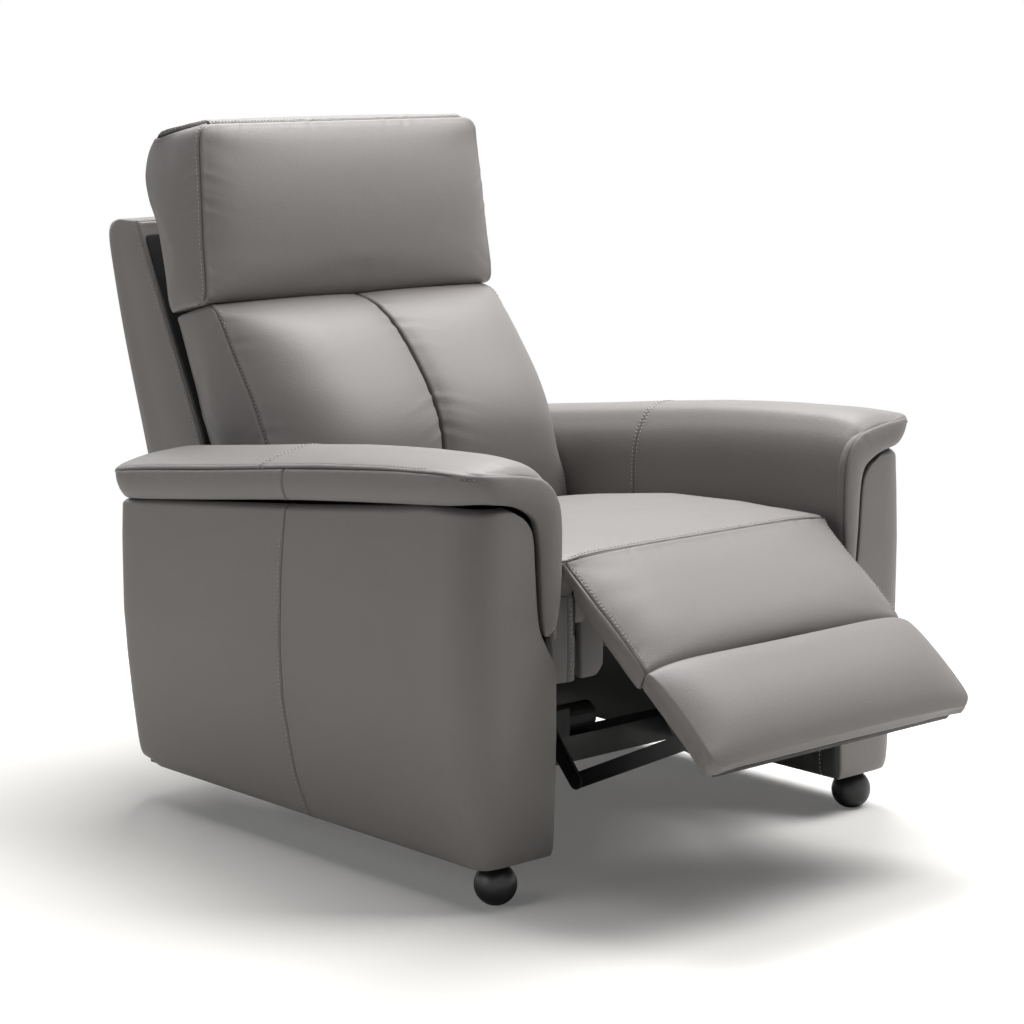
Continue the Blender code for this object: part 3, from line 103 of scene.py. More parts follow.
# %% Measuring from the front feet
FEET_TO_MIDDLE = 0.357
SIDES = (("right", -1), ("left", 1))
ALL = np.s_[:]


def here(x, y, z):
    """A point measured from the front feet, in the frame's own numbers."""
    return Vector((x, y - FEET_TO_MIDDLE, z))


def step(low, high, value):
    """0 below low, 1 above high, smooth between."""
    t = min(1.0, max(0.0, (value - low) / (high - low)))
    return t * t * (3 - 2 * t)


def fade(way, reach):
    """1 at the start of a way, a third of that after each reach."""
    return math.exp(-way / reach)


def hump(share):
    """0 at both ends, 1 in the middle."""
    return math.sin(math.pi * share)


def arc(share):
    """How far a quarter circle has turned away after a share of its width, from 0 to 1."""
    return 1 - math.sqrt(1 - min(1.0, max(0.0, share)) ** 2)


def swelled(u, half, side):
    """x at a place u from -1 to 1 across a half width, with the ends swelled by side."""
    return u * half + u * abs(u) ** 7 * side


def table(value, pairs):
    """Straight-line reading of a table of (place, size), places rising."""
    places, sizes = zip(*pairs)
    return float(np.interp(value, places, sizes))


print("front feet at y =", round(here(0, 0, 0).y, 3))

# %% [markdown]
# Two things are done over and over: putting a new object into the scene, and keeping what its modifiers
# make as a plain mesh. Node trees are built the same way everywhere too: a node with its settings, and
# its inputs fed either with a plain value or with the output of another node.


# %% Objects and nodes
def new_object(name, data):
    thing = bpy.data.objects.new(name, data)
    bpy.context.scene.collection.objects.link(thing)
    return thing


def new_piece(name, points, edges=(), faces=()):
    mesh = bpy.data.meshes.new(name)
    mesh.from_pydata(points, edges, faces)
    return new_object(name, mesh)


def smooth(piece):
    piece.data.polygons.foreach_set("use_smooth", [True] * len(piece.data.polygons))


def keep_result(piece):
    """What the modifiers make becomes the piece's own mesh."""
    graph = bpy.context.evaluated_depsgraph_get()
    mesh = bpy.data.meshes.new_from_object(piece.evaluated_get(graph))
    piece.modifiers.clear()
    old, piece.data = piece.data, mesh
    bpy.data.meshes.remove(old)
    mesh.name = piece.name
    smooth(piece)


def feed(tree, socket, value):
    """Links an output to the socket, or writes a plain value into it."""
    if isinstance(value, bpy.types.NodeSocket):
        tree.links.new(value, socket)
    else:
        socket.default_value = (*value, 1) if socket.type == "RGBA" else value


def add(tree, kind, inputs=None, **settings):
    node = tree.nodes.new(kind)
    for label, value in settings.items():
        setattr(node, label, value)
    for label, value in (inputs or {}).items():
        feed(tree, node.inputs[label], value)
    return node


def maths(tree, operation, a, b=0.0):
    return add(tree, "ShaderNodeMath", {0: a, 1: b}, operation=operation).outputs[0]


def mapped(tree):
    return add(tree, "ShaderNodeTexCoord").outputs["Object"]


def empty_tree(thing):
    thing.use_nodes = True
    thing.node_tree.nodes.clear()
    return thing.node_tree


print("helpers: new_piece, keep_result, feed, add, maths")

# %% [markdown]
# The camera stands where a catalogue photographer stands: a long lens some four metres away, at hip
# height, turned to show the front and the sitter's right side. A long lens keeps the arms parallel.

# %% Camera
camera = new_object("camera", bpy.data.cameras.new("camera"))
camera.location = (-2.780, -3.075, 1.158)
camera.rotation_euler = (math.radians(80.27), 0, math.radians(-42.03))
camera.data.lens, camera.data.sensor_width, camera.data.clip_end = 98.85, 36, 60
bpy.context.scene.camera = camera
bpy.context.scene.view_settings.view_transform = "Standard"
print("lens", camera.data.lens, "mm")

# %% [markdown]
# The chair is lit as in a furniture studio: large soft boxes hang over it, the strongest behind the
# sitter's left shoulder and in front of it on the same side, so the tops of the cushions are bright and
# the side that faces the camera falls to a third of that. A weak box on the camera's side and one behind
# keep the edges apart. Large lamps give a shadow with no edge. Only the camera, glass and mirrors see
# white paper around the chair; for everything else the room is nearly dark.

# %% Studio
LAMPS_AIM = Vector((0.0, 0.0, 0.5))
SOFTBOXES = (("softbox_back_right", (0.9, 0.9, 3.0), 1.6, 102), ("softbox_front_right", (1.4, -1.2, 2.8), 1.6, 79),
             ("softbox_top", (0.0, 0.0, 3.2), 2.0, 34), ("softbox_back", (0.0, 3.0, 2.2), 1.8, 27),
             ("softbox_left", (-3.4, 0.6, 1.6), 1.6, 16))
ROOM_GLOW, PAPER_GLOW = 0.02, 1.0
for name, place, size, power in SOFTBOXES:
    data = bpy.data.lights.new(name, "AREA")
    data.shape, data.size, data.size_y, data.energy = "RECTANGLE", size, size, power
    lamp = new_object(name, data)
    lamp.location = place
    lamp.rotation_euler = (LAMPS_AIM - Vector(place)).to_track_quat("-Z", "Y").to_euler()

world = bpy.data.worlds.new("studio")
bpy.context.scene.world = world
tree = empty_tree(world)
path = add(tree, "ShaderNodeLightPath").outputs
seen = maths(tree, "MAXIMUM", maths(tree, "MAXIMUM", path["Is Camera Ray"], path["Is Transmission Ray"]),
             path["Is Glossy Ray"])
room, paper = (add(tree, "ShaderNodeBackground", {"Color": (1, 1, 1), "Strength": glow}).outputs[0]
               for glow in (ROOM_GLOW, PAPER_GLOW))
both = add(tree, "ShaderNodeMixShader", {0: seen, 1: room, 2: paper})
add(tree, "ShaderNodeOutputWorld", {"Surface": both.outputs[0]})
print("lamps:", [row[0] for row in SOFTBOXES])

# %% [markdown]
# The floor is a wide square sheet of pale studio paper. Its Principled colour takes the lamps and so
# holds the shadow; a little light of its own, which grows with the distance from the chair and is seen
# by the camera alone, brings the paper up to white at the edges of the picture. Beside the chair a
# tenth of that light stays, and there it is painted light that lifts the shadow.

# %% Floor
FLOOR_HALF = 14
# GLOW_LEAST is the painted light that stays on the paper next to the chair and lifts its shadow.
GLOW_FROM, GLOW_FULL, GLOW_LEAST = 0.75, 2.3, 0.10
floor = new_piece("floor", [(x * FLOOR_HALF, y * FLOOR_HALF, 0) for x, y in ((-1, -1), (1, -1), (1, 1), (-1, 1))],
                  faces=[(0, 1, 2, 3)])

paper_sheet = bpy.data.materials.new("studio_paper")
tree = empty_tree(paper_sheet)
shade = add(tree, "ShaderNodeBsdfPrincipled", {"Base Color": (0.93, 0.92, 0.89), "Roughness": 0.9,
                                               "Specular IOR Level": 0.1})
away = add(tree, "ShaderNodeVectorMath", {0: mapped(tree)}, operation="LENGTH").outputs["Value"]
ramp = add(tree, "ShaderNodeMapRange", {"Value": away, "From Min": GLOW_FROM, "From Max": GLOW_FULL,
                                        "To Min": GLOW_LEAST}, interpolation_type="SMOOTHSTEP")
share = maths(tree, "MULTIPLY", ramp.outputs["Result"], add(tree, "ShaderNodeLightPath").outputs["Is Camera Ray"])
both = add(tree, "ShaderNodeMixShader", {0: share, 1: shade.outputs[0],
                                         2: add(tree, "ShaderNodeEmission").outputs[0]})
add(tree, "ShaderNodeOutputMaterial", {"Surface": both.outputs[0]})
floor.data.materials.append(paper_sheet)
print("floor", floor.dimensions[:2])

# %% [markdown]
# Leather is coloured on its surface and pressed with a grain: small rounded pebbles a millimetre
# across with finer wrinkles between them. The grain is a node group, so that every leather piece
# shares it. It gives heights and tones only; the shader stays in the material.


# %% Grain of the leather, as a node group
def group(name, kind, inputs, outputs):
    """A node tree with named sockets, each given as a number or as a kind of socket."""
    tree = bpy.data.node_groups.new(name, kind)
    for way, sockets in (("INPUT", inputs), ("OUTPUT", outputs)):
        for label, value in sockets.items():
            sort = "Float" if isinstance(value, float) else value
            socket = tree.interface.new_socket(label, in_out=way, socket_type=f"NodeSocket{sort}")
            if isinstance(value, float):
                socket.default_value = value
    return tree, tree.nodes.new("NodeGroupInput"), tree.nodes.new("NodeGroupOutput")


def noise(tree, scale, detail, roughness=0.5):
    return add(tree, "ShaderNodeTexNoise", {"Vector": mapped(tree), "Scale": scale, "Detail": detail,
                                            "Roughness": roughness}).outputs["Fac"]


grain, given, result = group("Leather grain", "ShaderNodeTree", {"Pebbles per metre": 800.0, "Softness": 0.6},
                             {"Height": "Float", "Tone": "Float", "Patches": "Float"})
pebble = add(grain, "ShaderNodeTexVoronoi", {"Vector": mapped(grain), "Scale": given.outputs["Pebbles per metre"],
                                             "Smoothness": given.outputs["Softness"]}, feature="SMOOTH_F1")
height = maths(grain, "ADD", maths(grain, "MULTIPLY", pebble.outputs["Distance"], -0.6),
               maths(grain, "MULTIPLY", noise(grain, 260.0, 4.0, 0.6), 0.9))
feed(grain, result.inputs["Height"], height)
feed(grain, result.inputs["Tone"], noise(grain, 34.0, 5.0, 0.6))
feed(grain, result.inputs["Patches"], noise(grain, 5.0, 3.0))
print("group:", grain.name, "->", [s.name for s in grain.interface.items_tree])

# %% [markdown]
# No coated, moulded or woven surface is quite even. This group turns one slow noise and one fine
# noise into a small swing of tone, and gives the fine one as height, for the metal, the plastic, the
# thread and the cloth.

# %% Uneven finish, as a node group
uneven, given, result = group("Uneven finish", "ShaderNodeTree", {"Speckle per metre": 600.0, "Amount": 0.1},
                              {"Tone": "Float", "Height": "Float"})
fine = noise(uneven, given.outputs["Speckle per metre"], 3.0)
swing = maths(uneven, "SUBTRACT", maths(uneven, "ADD", noise(uneven, 9.0, 4.0), fine), 1.0)
feed(uneven, result.inputs["Tone"],
     maths(uneven, "ADD", maths(uneven, "MULTIPLY", swing, given.outputs["Amount"]), 1.0))
feed(uneven, result.inputs["Height"], fine)
print("group:", uneven.name)

# %% [markdown]
# The leather's own colour is a warm mid grey. Its tone drifts a little over a hide. In the seams the
# colour is darkened as painted shade, the shade that falls into their grooves. The sewing helpers below
# leave numbers on every point that say how close the nearest seam and the nearest stitch are, and the
# material reads them.

# %% Leather
HIDE = (0.186, 0.174, 0.168)
LINING = (0.045, 0.044, 0.045)
STITCH_PITCH = 0.0062
GRAIN_DEPTH = 0.0005
# The first two numbers paint shade into the seams: the share of the colour left there, and how much of it is taken;
# the third is the depth of the puckers beside the stitches.
SEAM_SHADE_TONE, SEAM_SHADE_SHARE, PUCKER = 0.22, 0.85, 0.9


def bump(tree, height, strength, distance):
    return add(tree, "ShaderNodeBump", {"Height": height, "Strength": strength,
                                        "Distance": distance}).outputs["Normal"]


def mix(tree, share, a, b):
    return add(tree, "ShaderNodeMix", {0: share, 6: a, 7: b}, data_type="RGBA").outputs[2]


def toned(colour, factor):
    return tuple(c * factor for c in colour)


def material(name, build):
    """A material of one Principled shader; build(tree) gives what goes into its sockets."""
    made = bpy.data.materials.new(name)
    tree = empty_tree(made)
    shade = add(tree, "ShaderNodeBsdfPrincipled", build(tree))
    add(tree, "ShaderNodeOutputMaterial", {"Surface": shade.outputs[0]})
    return made


def leather(colour, roughness, sheen):
    def build(tree):
        skin = add(tree, "ShaderNodeGroup", node_tree=grain).outputs
        near, beside, run = (add(tree, "ShaderNodeAttribute", attribute_name=label).outputs["Fac"]
                             for label in ("near_seam", "near_stitch", "stitch_run"))
        tone = maths(tree, "ADD", maths(tree, "MULTIPLY", skin["Tone"], 0.45),
                     maths(tree, "MULTIPLY", skin["Patches"], 0.55))
        hide = mix(tree, tone, toned(colour, 0.88), toned(colour, 1.08))
        swing = maths(tree, "SINE", maths(tree, "MULTIPLY", run, 2 * math.pi / STITCH_PITCH))
        pucker = maths(tree, "MULTIPLY", maths(tree, "MULTIPLY", swing, beside), PUCKER)
        # Painted shade: close to a seam the colour falls towards a fifth of itself.
        return {"Base Color": mix(tree, maths(tree, "MULTIPLY", near, SEAM_SHADE_SHARE), hide,
                                  toned(colour, SEAM_SHADE_TONE)),
                "Roughness": maths(tree, "ADD", maths(tree, "MULTIPLY", skin["Tone"], 0.14), roughness - 0.07),
                "Normal": bump(tree, maths(tree, "ADD", skin["Height"], pucker), 0.6, GRAIN_DEPTH),
                "Specular IOR Level": 0.38, "Sheen Weight": sheen, "Sheen Roughness": 0.45}
    return build


seat_leather = material("leather_grey", leather(HIDE, roughness=0.50, sheen=0.03))
lining_leather = material("leather_lining_dark", leather(LINING, roughness=0.55, sheen=0.05))
print("leather:", seat_leather.name, lining_leather.name)

# %% [markdown]
# Steel under a recliner is stamped plate in black powder coat, a satin skin with a faint orange peel.
# The drives and the control box are moulded black plastic with a spark-eroded texture, the feet a
# smoother satin plastic. The deck is birch plywood, and the boards of the arms, the back and the leg
# rest are stained black, a black that also stands in as painted shade in the gaps between the cushions.


# %% Steel, plastic, plywood, thread and cloth
def finish(colour, roughness, speckle, swing, strength, metallic=0.0, coat=0.0):
    def build(tree):
        skin = add(tree, "ShaderNodeGroup", {"Speckle per metre": speckle, "Amount": swing},
                   node_tree=uneven).outputs
        return {"Base Color": mix(tree, maths(tree, "SUBTRACT", skin["Tone"], 0.5),
                                  toned(colour, 0.8), toned(colour, 1.2)),
                "Roughness": maths(tree, "MULTIPLY", skin["Tone"], roughness),
                "Normal": bump(tree, skin["Height"], strength, 0.0003),
                "Metallic": metallic, "Coat Weight": coat}
    return build


def birch(pale, dark):
    """Rings and pores of a birch face, run along the length of the boards."""
    def build(tree):
        turn = add(tree, "ShaderNodeMapping", {"Vector": mapped(tree), "Scale": (16, 1.6, 16)})
        rings = add(tree, "ShaderNodeTexNoise", {"Vector": turn.outputs[0], "Scale": 3.0, "Detail": 5.0,
                                                 "Distortion": 1.2}).outputs["Fac"]
        return {"Base Color": mix(tree, rings, pale, dark),
                "Roughness": maths(tree, "ADD", maths(tree, "MULTIPLY", rings, 0.2), 0.5),
                "Normal": bump(tree, rings, 0.3, 0.0006)}
    return build


black_steel = material("black_powder_coat", finish((0.010, 0.010, 0.011), 0.40, 900.0, 0.25, 0.3, coat=0.1))
bright_steel = material("worn_rivet_steel", finish((0.42, 0.42, 0.43), 0.32, 1500.0, 0.2, 0.2, metallic=1.0))
black_plastic = material("black_moulded_plastic", finish((0.012, 0.012, 0.013), 0.52, 1400.0, 0.15, 0.5))
foot_plastic = material("black_foot_plastic", finish((0.012, 0.012, 0.013), 0.40, 700.0, 0.1, 0.12))
button_plastic = material("button_plastic", finish((0.22, 0.22, 0.23), 0.35, 1200.0, 0.08, 0.2))
plywood = material("birch_plywood", birch((0.62, 0.44, 0.27), (0.38, 0.24, 0.13)))
# Black stained boards; where they show in the gaps between the cushions their black is painted shade.
stained_board_and_gap_shade = material("black_stained_plywood_and_gap_shade", birch((0.030, 0.028, 0.027), (0.012, 0.011, 0.011)))
thread = material("thread_pale_grey", finish((0.42, 0.40, 0.385), 0.6, 2500.0, 0.2, 0.3))
# Black dust cloth, whose black is also painted shade in the gap between the back's shell and its cushions.
dust_cloth_and_gap_shade = material("black_dust_cloth_and_gap_shade", finish((0.006, 0.006, 0.006), 0.95, 2200.0, 0.3, 0.6))
print("finishes:", [m.name for m in bpy.data.materials])

# %% [markdown]
# A leather cushion is a closed case: every panel is cut flat, and the panels meet in seams. In mesh
# terms it is the skin of a stretched box, so one helper makes the skin of a lattice, and each cushion
# brings a rule that says where a point of the box goes. Rows are laid closer where a seam will run,
# so that the seam stays crisp.


# %% Skins over a lattice
def spaced(length, cell, seams=(), fine=0.0018, reach=0.016):
    """Shares from 0 to 1 of a length in metres, a cell apart, and finer towards each seam."""
    stops = sorted({0.0, length, *[s for s in seams if 0 < s < length]})
    shares = [0.0]
    for a, b in zip(stops, stops[1:]):
        s = np.linspace(a, b, 300)
        near = np.min([np.abs(s - q) for q in seams], axis=0) if seams else np.full_like(s, 1.0)
        pace = 1 / (fine + (cell - fine) * np.clip(near / reach, 0, 1) ** 1.3)
        grown = np.concatenate([[0], np.cumsum((pace[1:] + pace[:-1]) / 2 * np.diff(s))])
        count = max(1, math.ceil(grown[-1]))
        shares += list(np.interp(np.linspace(0, grown[-1], count + 1)[1:], grown, s))
    return [s / length for s in shares]


def across(*sizes, **more):
    """The same from -1 to 1."""
    return [2 * s - 1 for s in spaced(*sizes, **more)]


def column(shares, value):
    """Number of the lattice row that lies at a share."""
    return int(np.argmin([abs(s - value) for s in shares]))


def closed_piece(name, points, faces):
    """A smooth closed piece with its faces turned outwards."""
    piece = new_piece(name, points, faces=faces)
    work = bmesh.new()
    work.from_mesh(piece.data)
    bmesh.ops.recalc_face_normals(work, faces=work.faces)
    work.to_mesh(piece.data)
    work.free()
    smooth(piece)
    return piece


def skin_of_box(name, rule, us, vs, ts):
    """Closed skin of a lattice box; rule(u, v, t) gives each point, measured from the front feet.

    The second result names lines on it: line(i, j, k), one of them a slice, lists point numbers."""
    numbers, points, faces = {}, [], []
    last = (len(us) - 1, len(vs) - 1, len(ts) - 1)

    def corner(i, j, k):
        if (i, j, k) not in numbers:
            numbers[i, j, k] = len(points)
            points.append(here(*rule(us[i], vs[j], ts[k])))
        return numbers[i, j, k]

    def line(*places):
        picks = [range(end + 1)[at] if isinstance(at, slice) else [at % (end + 1)]
                 for at, end in zip(places, last)]
        return [numbers[place] for place in itertools.product(*picks)]

    for a, b, c in ((0, 1, 2), (1, 2, 0), (2, 0, 1)):
        for side in (0, last[c]):
            for p in range(last[a]):
                for q in range(last[b]):
                    ring = []
                    for dp, dq in ((0, 0), (1, 0), (1, 1), (0, 1)):
                        at = [0, 0, 0]
                        at[a], at[b], at[c] = p + dp, q + dq, side
                        ring.append(corner(*at))
                    faces.append(ring)
    return closed_piece(name, points, faces), line


def settle(piece, lines=None):
    """Subdivides the skin once for good, and gives the places of its seam lines on it."""
    finer = piece.modifiers.new("smooth", "SUBSURF")
    finer.levels = finer.render_levels = 1
    keep_result(piece)
    spots = piece.data.vertices
    return {name: [spots[n].co.copy() for n in line] for name, line in (lines or {}).items()}


print("helpers: spaced, skin_of_box, settle")

# %% [markdown]
# A seam pulls its two panels down into a groove and gathers the leather beside it into small soft
# creases. The sewing helper moves the points near a seam line in along their normals, adds creases
# of uneven length, and writes how near the seam each point lies. A row of topstitches presses in a
# finer groove beside the seam, and is kept for the thread that is laid in it afterwards.

# %% Sewing a seam into a skin
ROW_PITCH = 0.0015
STITCHES = {}


def walked(points):
    """Length walked along a line at each of its points."""
    return np.concatenate([[0], np.cumsum(np.linalg.norm(np.diff(points, axis=0), axis=1))])


def even_line(points, pitch):
    """Points a pitch apart along a smooth line through the given ones."""
    p = np.array([tuple(q) for q in points], float)
    p = np.vstack([2 * p[0] - p[1], p, 2 * p[-1] - p[-2]])
    dense = []
    for a, b, c, d in zip(p, p[1:], p[2:], p[3:]):
        for t in np.linspace(0, 1, 8, endpoint=False):
            dense.append(0.5 * (2 * b + (c - a) * t + (2 * a - 5 * b + 4 * c - d) * t * t
                                + (3 * b - a - 3 * c + d) * t ** 3))
    dense = np.array(dense + [p[-2]])
    run = walked(dense)
    at = np.linspace(0, run[-1], max(2, int(run[-1] / pitch) + 1))
    return np.array([np.interp(at, run, dense[:, k]) for k in range(3)]).T


def crease(along, seed):
    """Uneven swing between -1 and 1 along a seam: three wave lengths, and a slow rise and fall."""
    return (math.sin(along * 2 * math.pi / 0.031 + seed * 2.1) * 0.5
            + math.sin(along * 2 * math.pi / 0.0187 + seed * 5.3) * 0.35
            + math.sin(along * 2 * math.pi / 0.0113 + seed * 1.7) * 0.15) * (
                0.55 + 0.45 * math.sin(along * 2 * math.pi / 0.173 + seed))


def points_of(mesh):
    """Places and normals of all points, a row each."""
    found = []
    for data, label in ((mesh.vertices, "co"), (mesh.vertex_normals, "vector")):
        flat = np.empty(len(mesh.vertices) * 3)
        data.foreach_get(label, flat)
        found.append(flat.reshape(-1, 3))
    return found


def tree_of(places):
    tree = KDTree(len(places))
    for i, place in enumerate(places):
        tree.insert(place, i)
    tree.balance()
    return tree


def numbers_on(mesh, name):
    """The numbers that a mesh holds under a name, one for each point, all 0 at first."""
    layer = mesh.attributes.get(name) or mesh.attributes.new(name, "FLOAT", "POINT")
    found = np.zeros(len(mesh.vertices), np.float32)
    layer.data.foreach_get("value", found)
    return found


def sew(piece, lines, depth=0.0030, width=0.0017, gather=0.0010, reach=0.020):
    """Presses seam lines into a skin. A line is a list of points in the frame's numbers."""
    mesh = piece.data
    spots, facts = [], []
    for seed, line in enumerate(lines):
        for i, p in enumerate(even_line(line, ROW_PITCH)):
            spots.append(p)
            facts.append((i * ROW_PITCH, seed + 1))
    tree = tree_of(spots)
    places, normals = points_of(mesh)
    near = np.zeros(len(places), np.float32)
    before = numbers_on(mesh, "near_seam")
    for i in range(len(places)):
        _, index, gap = tree.find(places[i])
        if gap > 3 * reach:
            continue
        along, seed = facts[index]
        groove = -depth * math.exp(-(gap / width) ** 2)
        lip = 0.22 * depth * math.exp(-((gap - 3.2 * width) / (1.8 * width)) ** 2)
        fold = gather * crease(along + gap * 0.35, seed) * math.exp(-gap / reach)
        places[i] += normals[i] * (groove + lip + fold * (1 - math.exp(-(gap / 0.004) ** 2)))
        near[i] = math.exp(-(gap / 0.0013) ** 2)
    mesh.vertices.foreach_set("co", places.ravel())
    mesh.attributes["near_seam"].data.foreach_set("value", np.maximum(before, near))
    mesh.update()


def topstitch(piece, line, offset, towards, body):
    """Presses a row of stitches in beside a seam and keeps it for a body: the line moved by offset."""
    mesh = piece.data
    places, normals = points_of(mesh)
    skin = BVHTree.FromPolygons(places.tolist(), [p.vertices[:] for p in mesh.polygons])
    spots = []
    for p in even_line(line, STITCH_PITCH / 2):
        spot, normal, _, _ = skin.find_nearest(Vector(p) + Vector(towards).normalized() * offset)
        if spot is not None and (not spots or (spot - spots[-1][0]).length > ROW_PITCH):
            spots.append((spot, normal))
    best = {}
    tree = tree_of(places)
    for k, p in enumerate(even_line([spot for spot, _ in spots], ROW_PITCH)):
        for _, i, gap in tree.find_range(p, 0.006):
            if gap < best.get(i, (1.0,))[0]:
                best[i] = (gap, k)
    near, run = numbers_on(mesh, "near_stitch"), numbers_on(mesh, "stitch_run")
    for i, (gap, k) in best.items():
        share = math.exp(-(gap / 0.0020) ** 2)
        if share > near[i]:
            near[i], run[i] = share, k * ROW_PITCH
        places[i] -= normals[i] * (0.0007 * share)
    mesh.vertices.foreach_set("co", places.ravel())
    mesh.attributes["near_stitch"].data.foreach_set("value", near)
    mesh.attributes["stitch_run"].data.foreach_set("value", run)
    mesh.update()
    STITCHES.setdefault(body, []).append([(spot + normal * 0.0001, normal) for spot, normal in spots])


def dress(piece, body, *replaced, fill, finish=seat_leather):
    """Material, body and the nodes that the piece stands for."""
    piece.data.materials.clear()
    piece.data.materials.append(finish)
    if body:
        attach(piece, body)
    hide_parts(*replaced)
    print(piece.name, len(piece.data.polygons), "faces")


print("helpers: even_line, sew, topstitch, dress")

# %% [markdown]
# Foam pushes leather outwards until the hide is tight, and the seams hold it back. Cloth simulation
# does the same: the skin is the cloth, its seam points are pinned, a pressure stands for the foam and
# gravity is off. Twenty steps are enough. No point may move further than a cap, so the cushion keeps
# clear of its neighbours, and the moved points are kept as the mesh, with no Cloth left on it.

# %% Foam pressing a skin outwards
FOAM_STEPS = 20


def foam(piece, lines, pressure, most, loose=None):
    """Cloth under pressure, pinned on its seam lines; loose(point) is how free each point is, 0 to 1."""
    start = points_of(piece.data)[0]
    pins = piece.vertex_groups.new(name="held")
    pins.add(sorted({n for line in lines.values() for n in line}), 1.0, "REPLACE")
    cloth = piece.modifiers.new("foam", "CLOTH")
    rules = cloth.settings
    rules.quality, rules.mass, rules.air_damping = 5, 0.4, 2.0
    rules.tension_stiffness = rules.compression_stiffness = 12
    rules.shear_stiffness, rules.bending_stiffness = 6, 1.5
    rules.use_pressure, rules.uniform_pressure_force = True, pressure
    rules.vertex_group_mass, rules.pin_stiffness = "held", 1.0
    rules.effector_weights.gravity = 0
    cloth.collision_settings.use_collision = False
    cloth.point_cache.frame_start, cloth.point_cache.frame_end = 1, FOAM_STEPS
    scene = bpy.context.scene
    for moment in range(1, FOAM_STEPS + 1):
        scene.frame_set(moment)
    result = piece.evaluated_get(bpy.context.evaluated_depsgraph_get())
    moved = points_of(result.to_mesh())[0] - start
    result.to_mesh_clear()
    moved *= most / (most + np.linalg.norm(moved, axis=1, keepdims=True))
    if loose:
        moved *= np.array([[loose(Vector(p) + Vector((0, FEET_TO_MIDDLE, 0)))] for p in start])
    piece.modifiers.clear()
    piece.vertex_groups.clear()
    scene.frame_set(1)
    piece.data.vertices.foreach_set("co", (start + moved).ravel())
    piece.data.update()
    print(piece.name, "moved by", round(float(np.linalg.norm(moved, axis=1).max()) * 1000, 1), "mm at most")


print("helper: foam")

# %% [markdown]
# The headrest is a box cushion: a crowned front panel, a boxing strip round the sides and the top,
# and a flat seam where they meet. Its side view is read from the chair as two lines, one down the
# front and one down the back, and every row of the skin runs from one to the other.

# %% Headrest
HEAD_FRONT = ((0.7570, 0.7470), (0.7440, 0.7500), (0.7360, 0.7600), (0.7375, 0.7900), (0.7440, 0.8290),
              (0.7485, 0.8700), (0.7525, 0.9100), (0.7570, 0.9500), (0.7600, 0.9800), (0.7605, 1.0050),
              (0.7635, 1.0160), (0.7720, 1.0215), (0.7870, 1.0235))
HEAD_BACK = ((0.8380, 0.7260), (0.8420, 0.7370), (0.8470, 0.7520), (0.8570, 0.7850), (0.8730, 0.8330),
             (0.8880, 0.8780), (0.9030, 0.9250), (0.9020, 0.9560), (0.8880, 0.9850), (0.8600, 1.0060))
HEAD_SEAM = 0.936
HEAD_HALF, HEAD_TAPER, HEAD_CROWN, HEAD_CORNER = 0.2905, 0.0150, 0.034, 0.026


def along(line, share):
    """Point at a share of a line that was evened out beforehand."""
    place = share * (len(line) - 1)
    i = min(int(place), len(line) - 2)
    return line[i] + (line[i + 1] - line[i]) * (place - i)


def flat_line(pairs, count=60):
    points = even_line([(a, b, 0) for a, b in pairs], 0.002)
    picks = np.linspace(0, len(points) - 1, count)
    return np.array([np.interp(picks, np.arange(len(points)), points[:, k]) for k in range(2)]).T


head_front, head_back = flat_line(HEAD_FRONT), flat_line(HEAD_BACK)


def headrest_rule(u, v, t):
    y0, z0 = along(head_front, t)
    y1, z1 = along(head_back, t)
    panel = min(1.0, t / HEAD_SEAM)
    half = HEAD_HALF - HEAD_TAPER * t - 0.005 * fade(t, 0.03)
    half -= HEAD_CORNER * (1 - v) * arc((panel - 0.915) / 0.085)
    swell = 0.5 * (1 - (1 - panel) ** 9) * (1 - panel ** 9) + 0.5 * hump(panel)
    front = HEAD_CROWN * (1 - 0.5 * abs(u) ** 3.2 - 0.5 * abs(u) ** 14) * swell * (1 - v) ** 3
    back = 0.010 * (1 - abs(u) ** 3.0) * hump(t) ** 0.55 * v ** 3
    side = 0.006 * hump(v) * swell
    tuck = 0.006 * step(0.80, 1.0, v) * step(0.60, 0.42, t)
    z = z0 + (z1 - z0) * v
    z += 0.006 * (1 - abs(u) ** 4) * hump(v) * step(0.90, 1.0, t)
    return (swelled(u, half - tuck, side), y0 + (y1 - y0) * v - front + back, z)


ts = spaced(0.30, 0.007, (0.30 * HEAD_SEAM,))
headrest, line = skin_of_box("headrest_cover", headrest_rule, across(0.57, 0.009, (0.0, 0.57)),
                             spaced(0.13, 0.009, (0.0,)), ts)
row = column(ts, HEAD_SEAM)
lines = {"right": line(0, 0, np.s_[:row + 1]), "left": line(-1, 0, np.s_[:row + 1]),
         "top": line(0, np.s_[:0:-1], row) + line(ALL, 0, row) + line(-1, np.s_[1:], row)}
foam(headrest, lines, pressure=2.5, most=0.006)
lines = settle(headrest, lines)
sew(headrest, lines.values(), gather=0.0016)
for side in ("right", "left"):
    topstitch(headrest, lines[side][3:], 0.0055, (0, 1, 0), "headrest")
topstitch(headrest, lines["top"], 0.006, (0, 0.4, 1), "headrest")
dress(headrest, "headrest", "headrest_cushion", fill=0.8)

# %% [markdown]
# The back cushion is two upright columns with a deep sewn crease between them. Its front stands well
# forward of its side seams at lumbar height and falls back under the headrest. The table gives, from
# the bottom up, the height, the side seam, how far the columns stand in front of it, and the crease.

